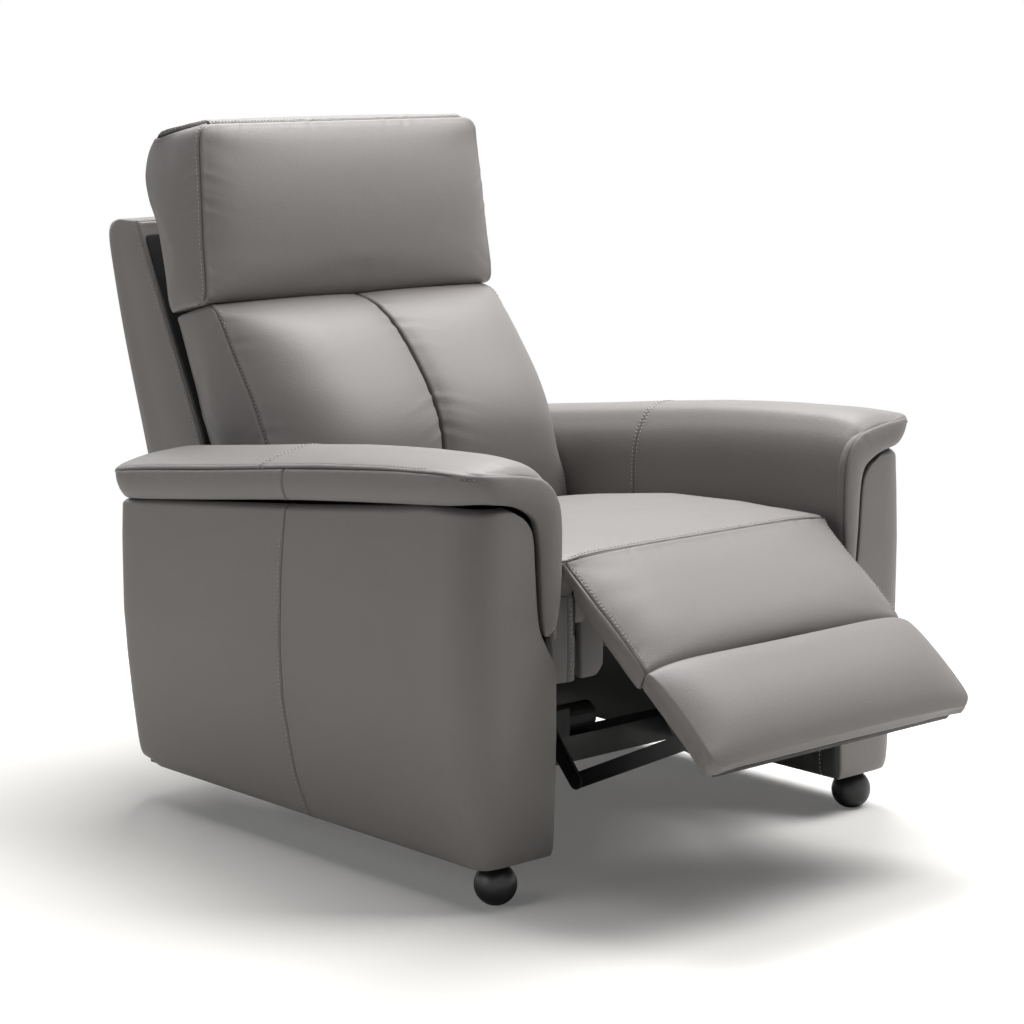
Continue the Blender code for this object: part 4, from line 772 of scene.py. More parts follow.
# %% Back cushion
BACK = ((0.375, 0.548, 0.003, 0.0), (0.390, 0.541, 0.006, 0.002), (0.413, 0.543, 0.014, 0.004),
        (0.438, 0.549, 0.024, 0.008), (0.462, 0.558, 0.042, 0.012), (0.500, 0.576, 0.068, 0.016),
        (0.560, 0.605, 0.092, 0.019), (0.613, 0.634, 0.096, 0.020), (0.664, 0.669, 0.091, 0.020),
        (0.700, 0.693, 0.079, 0.019), (0.723, 0.709, 0.063, 0.018), (0.740, 0.724, 0.040, 0.014),
        (0.748, 0.742, 0.012, 0.006))
BACK_HALF, COLUMN_SWELL = 0.2812, 0.009
back_rows = even_line([(z, y, crown) for z, y, crown, _ in BACK], 0.002)
crease_depth = [(z, sewn) for z, _, _, sewn in BACK]


def back_board(z):
    """The front face of the back's board, a hair in front of it."""
    return 0.775 + (z - 0.538) * 0.3357 - 0.0008


def back_rule(u, v, t):
    z, y, crown = along(back_rows, t)
    z_back = z - 0.024 * t
    y_back = back_board(z_back) - 0.020 * max(0.0, (0.58 - z) / 0.20)
    half = BACK_HALF - 0.004 * fade(t, 0.03) - 0.005 * fade(1 - t, 0.03)
    half -= (0.018 - 0.013 * t) * step(0.78, 1.0, v)
    fold = table(z, crease_depth)
    ends = step(0, 0.1, t) * step(0, 0.1, 1 - t)
    front = crown * (1 - abs(u) ** 6) - fold * (0.72 * fade(abs(u), 0.040) + 0.42 * fade(abs(u), 0.17))
    front += COLUMN_SWELL * hump(min(1.0, abs(u))) ** 0.8 * ends
    side = 0.004 * hump(v)
    y = y + (y_back - y) * v - front * (1 - v) ** 3
    return (swelled(u, half, side), y, z + (z_back - z) * v)


us = across(0.562, 0.009, (0.0, 0.281, 0.562))
back, line = skin_of_box("back_cover", back_rule, us, spaced(0.15, 0.010, (0.0,)), spaced(0.42, 0.009))
lines = {"right": line(0, 0, ALL), "left": line(-1, 0, ALL), "crease": line(column(us, 0.0), 0, np.s_[2:])}
foam(back, lines, pressure=2.5, most=0.007)
lines = settle(back, lines)
sew(back, [lines["right"], lines["left"]], gather=0.0014)
sew(back, [lines["crease"]], depth=0.0045, width=0.0024, gather=0.0018, reach=0.030)
for side, sign in SIDES:
    topstitch(back, lines[side][3:-3], 0.006, (-sign, -0.3, 0), "back")
dress(back, "back", "back_cushion", fill=0.8)

# %% [markdown]
# The back's shell is a padded board: thick leather over foam, with a stitched seam down each front
# edge and round the top. It is slimmer than the cushions and keeps a dark gap to them, where two
# strips of black dust cloth close its front; their black is partly painted shade, the shade deep in the gap.

# %% Back shell
SHELL_BACK = ((0.835, 0.242), (0.8420, 0.2450), (0.8490, 0.2650), (0.8600, 0.3000), (0.9010, 0.4300),
              (0.9350, 0.5380), (0.9820, 0.6870), (1.0120, 0.8050), (1.0180, 0.8430), (1.0120, 0.8580),
              (0.9950, 0.8650))
SHELL_FOOT, SHELL_HEIGHT, SHELL_HALF = 0.250, 0.612, 0.2750
CLOTH_NEAR, CLOTH_FAR = 0.975, 0.62
shell_back = flat_line(SHELL_BACK)


def shell_rule(u, v, t):
    y1, z1 = along(shell_back, t)
    z0 = SHELL_FOOT + SHELL_HEIGHT * t + 0.003 * fade(1 - t, 0.02)
    y0 = back_board(z0) + 0.0018 + 0.004 * fade(t, 0.015) + 0.160 * max(0.0, z0 - 0.550)
    half = SHELL_HALF - 0.006 * fade(t, 0.02) - 0.003 * fade(1 - t, 0.02)
    half -= 0.004 * step(0.86, 1.0, v) ** 1.5
    back = 0.010 * (1 - abs(u) ** 2.5) * v ** 3 * hump(t) ** 0.4
    side = 0.0025 * hump(min(1, v * 1.5)) * hump(t) ** 0.4
    top = 0.004 * (1 - abs(u) ** 4) * hump(v) * step(0.9, 1.0, t)
    return (swelled(u, half, side), y0 + (y1 - y0) * v + back, z0 + (z1 - z0) * v + top)


shell, line = skin_of_box("back_shell_cover", shell_rule, across(0.54, 0.012, (0.0, 0.54)),
                          spaced(0.15, 0.010, (0.0, 0.15)), spaced(0.64, 0.012, (0.64,)))
lines = settle(shell, {"right": line(0, 0, ALL), "left": line(-1, 0, ALL), "top": line(ALL, 0, -1)})
sew(shell, lines.values(), depth=0.0022, gather=0.0006)
for row in (lines["right"][4:-2], lines["left"][4:-2], lines["top"]):
    topstitch(shell, row, 0.007, (0, 1, 0), "back")
dress(shell, "back", "back_shell", fill=1.0)
# Two strips of black cloth in the gap beside the shell: dust cloth, and painted shade of the gap.
for side, near, far in (("right", -CLOTH_NEAR, -CLOTH_FAR), ("left", CLOTH_FAR, CLOTH_NEAR)):
    def cloth_rule(u, v, t):
        x, y, z = shell_rule(near + (far - near) * (u + 1) / 2, 0.0, 0.03 + 0.94 * t)
        return (x, y - 0.0006 - 0.0016 * (1 - v), z)
    cloth, _ = skin_of_box(f"back_dust_cloth_and_gap_shade_{side}", cloth_rule, np.linspace(-1, 1, 9), [0.0, 1.0],
                           np.linspace(0, 1, 40))
    settle(cloth)
    dress(cloth, "back", fill=1.0, finish=dust_cloth_and_gap_shade)

# %% [markdown]
# The arm's pad is one hide from the outer seam over the top and down the inner side. Its section
# rises from the outer seam to a low crown and then rolls in a wide curve to the seat, and the same
# section runs the length of the arm, taller in the middle and at the back. At the front it bends
# down to the band. All numbers are for one arm; the other is its mirror.

# %% Arm pad
ARM_SEAM = ((-0.045, 0.5935), (0.020, 0.5910), (0.136, 0.5830), (0.273, 0.5700), (0.515, 0.5400),
            (0.680, 0.5210), (0.781, 0.5070))
# Across from the outer seam: x, fall below the seam, share of the crown.
ARM_SECTION = ((0.4425, 0.0, 0.0), (0.4400, -0.001, 0.18), (0.4300, -0.001, 0.36), (0.4120, 0.000, 0.54),
               (0.3900, 0.000, 0.74), (0.3640, -0.001, 0.94), (0.3380, -0.004, 1.04), (0.3190, -0.011, 0.98),
               (0.3020, -0.025, 0.72), (0.2940, -0.036, 0.62), (0.2880, -0.052, 0.50), (0.2853, -0.072, 0.35),
               (0.2848, -0.110, 0.10), (0.2848, -0.160, 0.0), (0.2850, -0.228, 0.0))
CROWN = ((-0.046, -0.003), (-0.040, 0.003), (-0.028, 0.009), (-0.010, 0.014), (0.030, 0.018),
         (0.050, 0.019), (0.200, 0.024), (0.420, 0.028), (0.700, 0.029), (0.781, 0.022))
# Below this fall the pad hangs straight down to its foot.
HANG_FALL, HANG_SHARE, HANG_LENGTH, PAD_FOOT = 0.072, 0.35, 0.156, 0.360
PAD_FRONT, PAD_REAR, PAD_THICK, PAD_ROLL, PAD_ROLL_REACH = -0.0455, 0.781, 0.011, 0.006, 0.016
PAD_LENGTH, CROSS_SEAM = 0.80, 0.372
arm_section = even_line(ARM_SECTION, 0.002)


def arm_skin(u, y):
    """(x, z) on the pad's section at a share across and a distance back."""
    x, fall, share = along(arm_section, u)
    seam, crown = table(y, ARM_SEAM), table(y, CROWN)
    if fall >= -HANG_FALL:
        return x, seam + fall + share * crown
    start = seam - HANG_FALL + HANG_SHARE * crown
    return x, start + (PAD_FOOT - start) * ((-HANG_FALL - fall) / HANG_LENGTH)


def pad_ends(x):
    """How far forward and back the pad reaches, rounded off at its outer corners."""
    front, rear = PAD_FRONT, PAD_REAR
    if x > 0.405:
        front += 0.038 - math.sqrt(max(0.0, 0.038 ** 2 - (x - 0.405) ** 2))
    if x > 0.420:
        rear -= 0.023 - math.sqrt(max(0.0, 0.023 ** 2 - (x - 0.420) ** 2))
    return front, rear


def arm_rule(sign):
    def rule(u, v, t):
        front, rear = pad_ends(along(arm_section, u)[0])
        y = rear + (front - rear) * t
        x, z = arm_skin(u, y)
        a, b = arm_skin(max(0.0, u - 0.01), y), arm_skin(min(1.0, u + 0.01), y)
        dx, dz = b[0] - a[0], b[1] - a[1]
        size = math.hypot(dx, dz) or 1.0
        roll = (PAD_ROLL * max(0.0, 1 - (y - front) / PAD_ROLL_REACH) ** 2
                + PAD_ROLL * max(0.0, 1 - (rear - y) / PAD_ROLL_REACH) ** 2)
        inward = PAD_THICK * v + roll * (1 - v)
        return (sign * (x - dz / size * inward), y, z + dx / size * inward)
    return rule


for side, sign in SIDES:
    ts = spaced(PAD_LENGTH, 0.009, (0.0, CROSS_SEAM, PAD_LENGTH))
    pad, line = skin_of_box(f"arm_pad_{side}", arm_rule(sign), spaced(0.33, 0.008, (0.0,)), [0.0, 0.5, 1.0], ts)
    rows = settle(pad, {"outer": line(0, 0, ALL), "front": line(ALL, 0, -1),
                        "cross": line(ALL, 0, column(ts, CROSS_SEAM / PAD_LENGTH))})
    sew(pad, [rows["outer"] + rows["front"][1:]], depth=0.0018, gather=0.0006, reach=0.010)
    sew(pad, [rows["cross"]], depth=0.0018, gather=0.0005, reach=0.012)
    topstitch(pad, rows["outer"][:-10], 0.0065, (-sign, 0, 0.4), "base")
    topstitch(pad, rows["front"][8:], 0.0065, (0, 1, 0), "base")
    for way in (1, -1):
        topstitch(pad, rows["cross"], 0.0045, (0, way, 0), "base")
    dress(pad, "base", f"arm_cap_{side}", f"arm_liner_{side}", fill=0.8)

# %% [markdown]
# Round the edge of the pad runs a boxing band, as on a mattress: along the outer side, round the front
# corner, across the front and down beside the seat, where it ends in a rounded tongue. It is a strip
# of foam under leather, so its section is a flat oval. The table walks along its two edges.

# %% Arm band
# Top edge x, y, z and bottom edge x, y, z, from the rear inner end to the tongue.
BAND = ((0.300, 0.7765, 0.5045, 0.300, 0.7580, 0.4640), (0.330, 0.7785, 0.5100, 0.330, 0.7590, 0.4660),
        (0.404, 0.7800, 0.5110, 0.400, 0.7590, 0.4670), (0.430, 0.7755, 0.5100, 0.424, 0.7540, 0.4675),
        (0.4415, 0.7580, 0.5105, 0.4345, 0.7420, 0.4685), (0.4430, 0.700, 0.5185, 0.4365, 0.695, 0.4730),
        (0.4435, 0.550, 0.5355, 0.4370, 0.550, 0.4900), (0.4435, 0.345, 0.5605, 0.4370, 0.345, 0.5150),
        (0.4435, 0.131, 0.5830, 0.4370, 0.131, 0.5370), (0.4430, 0.030, 0.5900, 0.4345, 0.030, 0.5460),
        (0.4390, -0.014, 0.5925, 0.4270, -0.008, 0.5495), (0.4270, -0.036, 0.5930, 0.4130, -0.028, 0.5515),
        (0.4070, -0.0460, 0.5925, 0.3980, -0.0400, 0.5510), (0.3640, -0.0465, 0.5890, 0.3700, -0.0430, 0.5470),
        (0.3190, -0.0465, 0.5800, 0.3480, -0.0430, 0.5390), (0.2985, -0.0465, 0.5660, 0.3290, -0.0430, 0.5270),
        (0.2865, -0.0465, 0.5470, 0.3220, -0.0430, 0.5110), (0.2815, -0.0465, 0.5220, 0.3185, -0.0430, 0.4880),
        (0.2810, -0.0460, 0.4600, 0.3160, -0.0430, 0.4480), (0.2845, -0.0450, 0.4020, 0.3125, -0.0420, 0.4000),
        (0.2905, -0.0440, 0.3780, 0.3100, -0.0410, 0.3770), (0.2990, -0.0420, 0.3640, 0.3060, -0.0400, 0.3640))
BAND_SEAM_Y, BAND_PUFF, BAND_DEEP = 0.347, 0.0052, 0.015


def band_lines(count):
    """Both edges of the band, evened out together along its length."""
    edges, dense = np.array(BAND), []
    p = np.vstack([2 * edges[0] - edges[1], edges, 2 * edges[-1] - edges[-2]])
    for i in range(1, len(p) - 2):
        before, span, after = (np.linalg.norm(p[k + 1, :3] - p[k, :3]) for k in (i - 1, i, i + 1))
        m0 = (p[i + 1] - p[i - 1]) / 2 * 2 * span / max(1e-6, before + span)
        m1 = (p[i + 2] - p[i]) / 2 * 2 * span / max(1e-6, after + span)
        for t in np.linspace(0, 1, 12, endpoint=False):
            h = (2 * t ** 3 - 3 * t ** 2 + 1, t ** 3 - 2 * t ** 2 + t, -2 * t ** 3 + 3 * t ** 2, t ** 3 - t ** 2)
            dense.append(h[0] * p[i] + h[1] * m0 + h[2] * p[i + 1] + h[3] * m1)
    dense = np.array(dense + [p[-2]])
    run = walked((dense[:, :3] + dense[:, 3:]) / 2)
    at = np.linspace(0, run[-1], count)
    return np.array([np.interp(at, run, dense[:, k]) for k in range(6)]).T, run[-1]


def band_rule(sign, edges):
    def rule(u, v, t):
        """u runs across the band, v into it, t along it."""
        place = t * (len(edges) - 1)
        i = min(int(place), len(edges) - 2)
        first, then = edges[i], edges[i + 1]
        both = first + (then - first) * (place - i)
        a, b = Vector(both[:3]), Vector(both[3:])
        way = Vector(then[:3]) + Vector(then[3:]) - Vector(first[:3]) - Vector(first[3:])
        out = way.cross(b - a).normalized()
        share = (u + 1) / 2
        puff = BAND_PUFF * (1 - abs(u) ** 2.2) - 0.0022 * fade(min(share, 1 - share), 0.05)
        puff *= step(0, 0.012, min(t, 1 - t))
        point = a.lerp(b, share) + out * (puff * (1 - v) - BAND_DEEP * v)
        return (sign * point.x, point.y, point.z)
    return rule


edges, length = band_lines(400)
on_side = [i for i, edge in enumerate(edges) if edge[0] > 0.44]
joint = min(on_side, key=lambda i: abs(edges[i][1] - BAND_SEAM_Y)) / (len(edges) - 1)
ts = spaced(length, 0.008, (length * joint,))
for side, sign in SIDES:
    band, line = skin_of_box(f"arm_band_{side}", band_rule(sign, edges),
                             across(0.045, 0.006, (0.0, 0.045), reach=0.008), [0.0, 0.4, 1.0], ts)
    rows = settle(band, {"top": line(0, 0, ALL), "upright": line(ALL, 0, column(ts, joint))})
    sew(band, [rows["top"]], depth=0.0012, gather=0.0012, reach=0.010)
    sew(band, [rows["upright"]], depth=0.0020, gather=0.0003, reach=0.010)
    dress(band, "base", fill=0.8)
print("band:", round(length, 3), "m long")

# %% [markdown]
# The outer panel wraps the arm's board: across the front, round a wide soft corner, along the side
# and round the back. Foam under it swells at half height. One upright seam joins its two hides.

# %% Outer panel
# Height and x of the panel's outer face, x of its inner edge, y of its seam, and its corner's radius.
PANEL_OUT = ((0.0560, 0.4110), (0.070, 0.4140), (0.100, 0.4190), (0.160, 0.4270), (0.230, 0.4345),
             (0.300, 0.4395), (0.410, 0.4395), (0.480, 0.4360), (0.530, 0.4325), (0.550, 0.4310))
PANEL_IN = ((0.0560, 0.2900), (0.141, 0.2865), (0.228, 0.2845), (0.316, 0.2845), (0.330, 0.2900),
            (0.344, 0.2990), (0.362, 0.3090), (0.376, 0.3160), (0.413, 0.3205), (0.499, 0.3260),
            (0.513, 0.3300), (0.527, 0.3420), (0.537, 0.3600), (0.560, 0.3950))
PANEL_SEAM = ((0.0560, 0.335), (0.120, 0.356), (0.223, 0.367), (0.330, 0.365), (0.428, 0.360), (0.550, 0.352))
CORNER = ((0.0560, 0.030), (0.200, 0.052))
PANEL_TOP = ((0.0, 0.5450), (0.758, 0.4675))
PANEL_FRONT, PANEL_REAR, REAR_CORNER, REAR_INNER = -0.0405, 0.7665, 0.020, 0.302
SEAM_SHARE, PANEL_ROLL, PANEL_THICK = 0.44, 0.008, 0.012
LEVELS, STATIONS = np.linspace(0.04, 0.56, 131), 300


def panel_outline(z):
    """Plan of the panel at a height, from front inner to rear inner edge, and the seam's place in it."""
    outer, inner, wide = table(z, PANEL_OUT), table(z, PANEL_IN), table(z, CORNER)
    points = [(inner, PANEL_FRONT + 0.0015)]
    points += [(inner + (outer - wide - inner) * s, PANEL_FRONT) for s in (0.03, 0.3, 0.6, 0.9)]
    points += [(outer - wide + wide * math.sin(a), PANEL_FRONT + wide - wide * math.cos(a))
               for a in np.linspace(0, math.pi / 2, 9)]
    points += [(outer, y) for y in (0.08, 0.18, 0.28)]
    seam = len(points)
    points += [(outer, y) for y in (table(z, PANEL_SEAM), 0.45, 0.55, 0.65)]
    points += [(outer - REAR_CORNER + REAR_CORNER * math.cos(a), PANEL_REAR - REAR_CORNER + REAR_CORNER * math.sin(a))
               for a in np.linspace(0, math.pi / 2, 8)]
    points += [(REAR_INNER + (outer - REAR_CORNER - REAR_INNER) * s, PANEL_REAR) for s in (0.8, 0.4, 0.0)]
    return np.array(points), seam


plans = []
for z in LEVELS:
    points, seam = panel_outline(z)
    run = walked(points)
    shares = np.linspace(0, 1, STATIONS + 1)
    where = np.where(shares < SEAM_SHARE, shares / SEAM_SHARE * run[seam],
                     run[seam] + (shares - SEAM_SHARE) / (1 - SEAM_SHARE) * (run[-1] - run[seam]))
    plans.append(np.array([np.interp(where, run, points[:, k]) for k in range(2)]).T)


def plan(share, z):
    """The outline evened out, so that the seam keeps the same share at every height."""
    pitch = LEVELS[1] - LEVELS[0]
    i = min(len(LEVELS) - 2, max(0, int((z - LEVELS[0]) / pitch)))
    f = (z - LEVELS[i]) / pitch
    k = min(STATIONS - 1, int(share * STATIONS))
    g = share * STATIONS - k
    near, far = (plans[i][n] * (1 - f) + plans[i + 1][n] * f for n in (k, k + 1))
    return near * (1 - g) + far * g


def panel_rule(sign):
    def rule(u, v, t):
        y_guess = plan(u, 0.3)[1]
        low = 0.0562 + 0.010 * step(0.740, 0.766, y_guess) + 0.003 * step(-0.02, -0.045, y_guess)
        top = table(max(0.0, y_guess), PANEL_TOP)
        z = low + (top - low) * t
        x, y = plan(u, z)
        ahead, behind = plan(min(1.0, u + 0.006), z), plan(max(0.0, u - 0.006), z)
        dx, dy = ahead[0] - behind[0], ahead[1] - behind[1]
        size = math.hypot(dx, dy)
        roll = PANEL_ROLL * arc(1 - (top - z) / PANEL_ROLL)
        inward = PANEL_THICK * v + roll + 0.0035 * fade(z - low, 0.006) * (1 - v)
        return (sign * (x - dy / size * inward), y + dx / size * inward, z)
    return rule


for side, sign in SIDES:
    us = spaced(1.02, 0.012, (0.0, 1.02 * SEAM_SHARE))
    panel, line = skin_of_box(f"arm_cover_{side}", panel_rule(sign), us, [0.0, 1.0],
                              spaced(0.50, 0.012, (0.485,), fine=0.003))
    rows = settle(panel, {"upright": line(column(us, SEAM_SHARE), 0, ALL)})
    sew(panel, rows.values(), depth=0.0024, width=0.0016, gather=0.0005, reach=0.014)
    topstitch(panel, rows["upright"][2:-8], 0.0055, (0, 1, 0), "base")
    dress(panel, "base", f"arm_panel_{side}", fill=1.0)

# %% [markdown]
# Below the pad the inside of the arm is lined with thin dark leather on the board. In front, where it
# shows beside the leg rest, it is padded out to the thickness of the pad above it.

# %% Inner lining
LINING_LOW, LINING_HIGH, LINING_BOARD = 0.0600, 0.3640, 0.2988
LINING_LENGTH, LINING_SEAM = 0.785, 0.030


def lining_rule(sign):
    def rule(u, v, t):
        y = -0.036 + 0.790 * t
        thick = 0.0135 - 0.0120 * step(0.010, 0.045, y)
        thick *= 1 - 0.35 * abs(u) ** 12
        return (sign * (LINING_BOARD - thick * (1 - v)), y, LINING_LOW + (LINING_HIGH - LINING_LOW) * (u + 1) / 2)
    return rule


for side, sign in SIDES:
    ts = spaced(LINING_LENGTH, 0.014, (LINING_SEAM,))
    lining, line = skin_of_box(f"arm_lining_{side}", lining_rule(sign), across(0.30, 0.012), [0.0, 1.0], ts)
    rows = settle(lining, {"seam": line(ALL, 0, column(ts, LINING_SEAM / LINING_LENGTH))})
    sew(lining, rows.values(), depth=0.0010, gather=0.0003, reach=0.010)
    topstitch(lining, rows["seam"], 0.004, (0, 1, 0), "base")
    dress(lining, "base", fill=1.0, finish=lining_leather)

# %% [markdown]
# The seat is one crowned cushion. Its front seam is the line where the leg rest's hide begins, and a
# row of stitches follows it on the seat's side. The cushion's sides go down between the arms, and its
# front is tucked in below the seam, to make room for the leg rest when it is closed.

# %% Seat cushion
SEAT_EDGE = ((-0.024, 0.4600), (0.010, 0.4580), (0.060, 0.4550), (0.256, 0.4500), (0.400, 0.4340),
             (0.522, 0.4180))
SEAT_CROWN = ((-0.024, 0.0040), (0.000, 0.0080), (0.040, 0.0135), (0.120, 0.0180), (0.300, 0.0150),
              (0.440, 0.0110), (0.522, 0.0070))
SEAT_FRONT, SEAT_LENGTH, SEAT_HALF, SEAT_CORNER = -0.0240, 0.5440, 0.2790, 0.033
SEAT_TUCK = 0.018


def seat_rule(u, v, t):
    y = SEAT_FRONT + SEAT_LENGTH * t
    half = SEAT_HALF - SEAT_CORNER * arc(1 - t * 0.546 / 0.036) - 0.003 * fade(1 - t, 0.03)
    top = table(y, SEAT_EDGE) - 0.003 * abs(u) ** 14
    crown = table(y, SEAT_CROWN) * (1 - abs(u) ** 9.0)
    deck = 0.3830 - 0.0577 * (max(y, 0.0) - 0.022)
    low = deck - 0.020 * fade(t, 0.03)
    side = 0.004 * hump(v)
    front = 0.0035 * hump(v) * fade(t, 0.02)
    tuck = SEAT_TUCK * step(0.04, 0.40, v) * fade(t, 0.05)
    z = top + (low - top) * v + crown * (1 - v) ** 3
    return (swelled(u, half, side), y - front + tuck, z)


seat, line = skin_of_box("seat_cover", seat_rule, across(0.558, 0.010, (0.0, 0.558)),
                         spaced(0.075, 0.010, (0.0,)), spaced(SEAT_LENGTH, 0.010, (0.0,)))
lines = {"front": line(ALL, 0, 0), "right": line(0, 0, ALL), "left": line(-1, 0, ALL)}
foam(seat, lines, pressure=3.0, most=0.006, loose=lambda p: step(0.40, 0.44, p.z))
lines = settle(seat, lines)
sew(seat, lines.values(), depth=0.0016, gather=0.0009, reach=0.018)
topstitch(seat, lines["front"][2:-2], 0.0065, (0, 1, 0), "seat")
dress(seat, "seat", "seat_cushion", fill=0.8)

# %% [markdown]
# The leg rest is two sewn pads. The upper one starts in the seat's front seam and bends over the hinge
# as the leg rest opens, so it is one skin that follows two bodies. The lower one is a pillow with a
# round end. The tables give the tops of their side edges and their bottoms; a rule adds the crown.

# %% Leg rest pads
UPPER_TOP = ((-0.0260, 0.4590), (-0.0305, 0.4520), (-0.0400, 0.4430), (-0.0656, 0.4225), (-0.0860, 0.4060),
             (-0.1069, 0.3910), (-0.1353, 0.3685), (-0.1600, 0.3480), (-0.1740, 0.3355), (-0.1770, 0.3280))
UPPER_LOW = ((-0.0275, 0.4300), (-0.0300, 0.4275), (-0.0420, 0.4176), (-0.0656, 0.3981), (-0.0817, 0.3847),
             (-0.1000, 0.3696), (-0.1294, 0.3453), (-0.1500, 0.3282), (-0.1640, 0.3167), (-0.1700, 0.3130))
LOWER_TOP = ((-0.1775, 0.3180), (-0.1780, 0.3300), (-0.1870, 0.3315), (-0.2100, 0.3190), (-0.2350, 0.3010),
             (-0.2600, 0.2810), (-0.2840, 0.2600), (-0.3010, 0.2420), (-0.3070, 0.2290))
LOWER_LOW = ((-0.1735, 0.3100), (-0.1760, 0.3068), (-0.1900, 0.2952), (-0.2120, 0.2770), (-0.2350, 0.2580),
             (-0.2560, 0.2406), (-0.2780, 0.2224), (-0.2920, 0.2150), (-0.3020, 0.2170))
# The way out of the leg rest's board, as y and z, and how much of a crown's rise follows it.
BOARD_OUT, BOARD_SHARE = (-0.637, 0.770), 0.65
# How high above the board's face a point lies, from its z and y.
BOARD_Z, BOARD_SLOPE = 0.4523, 0.8273
UPPER_CROWN, LOWER_CROWN, UPPER_HALF, LOWER_HALF = 0.0240, 0.0255, 0.2560, 0.2575


def pad_rule(top_pairs, low_pairs, crown, half, swell, lip):
    top, low = flat_line(top_pairs), flat_line(low_pairs)

    def rule(u, v, t):
        (y0, z0), (y1, z1) = along(top, t), along(low, t)
        rise = crown * (1 - abs(u) ** 7.5) * swell(t) * (1 - v) ** 2
        x = u * (half(t) + abs(u) ** 9 * 0.0030 * hump(v))
        size = math.hypot(y0 - y1, z0 - z1) or 1.0
        cy, cz = ((lean / size) * (1 - BOARD_SHARE) + way * BOARD_SHARE
                  for lean, way in zip((y0 - y1, z0 - z1), BOARD_OUT))
        wrap = lip(t) * step(0.945, 0.957, abs(u)) * v
        return (x, y0 + (y1 - y0) * v + rise * cy - wrap * BOARD_OUT[0],
                z0 + (z1 - z0) * v + rise * cz - wrap * BOARD_OUT[1])
    return rule


def upper_swell(t):
    return (0.30 + 0.70 * hump(min(0.5, t))) * (1 - 0.75 * max(0.0, (t - 0.5) / 0.5) ** 3)


upper_rule = pad_rule(UPPER_TOP, UPPER_LOW, UPPER_CROWN,
                      lambda t: UPPER_HALF + 0.004 * fade(t, 0.08) - 0.001 * fade(1 - t, 0.03),
                      upper_swell, lambda t: 0.0090 * step(0.10, 0.16, t))
lower_rule = pad_rule(LOWER_TOP, LOWER_LOW, LOWER_CROWN,
                      lambda t: LOWER_HALF - 0.016 * arc((t - 0.90) / 0.10),
                      lambda t: 0.08 + 0.92 * hump(0.10 + 0.87 * t) ** 0.8, lambda t: 0.0)
for part, rule, length, seams in (("upper", upper_rule, 0.20, (0.0,)), ("lower", lower_rule, 0.17, ())):
    pad, line = skin_of_box(f"leg_cover_{part}", rule, across(0.50, 0.009, (0.0, 0.50)),
                            spaced(0.032, 0.007, (0.0,)), spaced(length, 0.008, seams))
    lines = {"right": line(0, 0, ALL), "left": line(-1, 0, ALL)}
    if part == "upper":
        lines["seat"] = line(ALL, 0, 0)
    foam(pad, lines, pressure=2.5, most=0.006,
         loose=lambda p: step(-0.004, 0.008, p.z - BOARD_Z - p.y * BOARD_SLOPE))
    lines = settle(pad, lines)
    if part == "upper":
        sew(pad, lines.values(), depth=0.0020, gather=0.0012, reach=0.016)
        for side, sign in SIDES:
            topstitch(pad, lines[side][4:-2], 0.0060, (-sign, 0, 0), "leg_rest")
        dress(pad, None, "leg_rest_upper_pad", fill=0.8)
        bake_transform(pad, "seat", "leg_rest", here(0, -0.026, 0.454), here(0, -0.080, 0.412))
    else:
        dress(pad, "leg_rest", "leg_rest_lower_pad", fill=0.9)

# %% [markdown]
# Under the seat's front edge hang small leather aprons, two beside each arm, which close the view of
# the steelwork and leave a slit for the leg rest's links. Each is a stiff padded flap. The outer one
# has a stitched edge, and the inner one a rounded lower corner.

# %% Aprons
APRON_LOW, APRON_HIGH = 0.2865, 0.4080
OUTER_WIDTH, OUTER_SEAM = 0.056, 0.015
# Inner edge, outer edge, front and rear face of each flap.
INNER_FLAP, OUTER_FLAP = (0.1662, 0.2083, -0.0058, 0.0078), (0.2247, 0.2805, -0.0110, 0.0010)


def apron_rule(sign, flap, free):
    """One flap; the lower corner at a free edge is rounded."""
    near, far, front, rear = flap

    def rule(u, v, t):
        x = near + (far - near) * (u + 1) / 2
        z = APRON_LOW + (APRON_HIGH - APRON_LOW) * t
        if free:
            x += 0.019 * (1 - (u + 1) / 2) * step(0.55, 1.0, t)
            z += 0.017 * (1 - t) ** 3 * max(0.0, 1 - (u + 1) / 0.9) ** 2
        else:
            z += 0.002 * (1 - t) ** 2 * (u + 1) / 2
        puff = 0.0025 * (1 - abs(u) ** 3) * hump(min(1.0, t + 0.05)) ** 0.5
        return (sign * x, front + (rear - front) * v - puff * (1 - v), z)
    return rule


ts = spaced(0.12, 0.006)
for side, sign in SIDES:
    apron, _ = skin_of_box(f"apron_inner_{side}", apron_rule(sign, INNER_FLAP, True),
                           across(0.042, 0.005), [0.0, 0.5, 1.0], ts)
    settle(apron)
    dress(apron, "seat", f"apron_wing_{side}", fill=1.0)
    us = across(OUTER_WIDTH, 0.005, (OUTER_SEAM,))
    apron, line = skin_of_box(f"apron_outer_{side}", apron_rule(sign, OUTER_FLAP, False),
                              us, [0.0, 0.5, 1.0], ts)
    rows = settle(apron, {"edge": line(column(us, -1 + 2 * OUTER_SEAM / OUTER_WIDTH), 0, ALL)})
    sew(apron, rows.values(), depth=0.0018, gather=0.0005, reach=0.010)
    topstitch(apron, rows["edge"][1:], 0.0055, (-sign, 0, 0), "seat")
    dress(apron, "seat", fill=1.0)

# %% [markdown]
# The feet are turned or moulded balls on a short neck. A ball with a flattened tread is a profile
# spun round an axis, so each foot is a turned form of its own, smoother than the frame's.

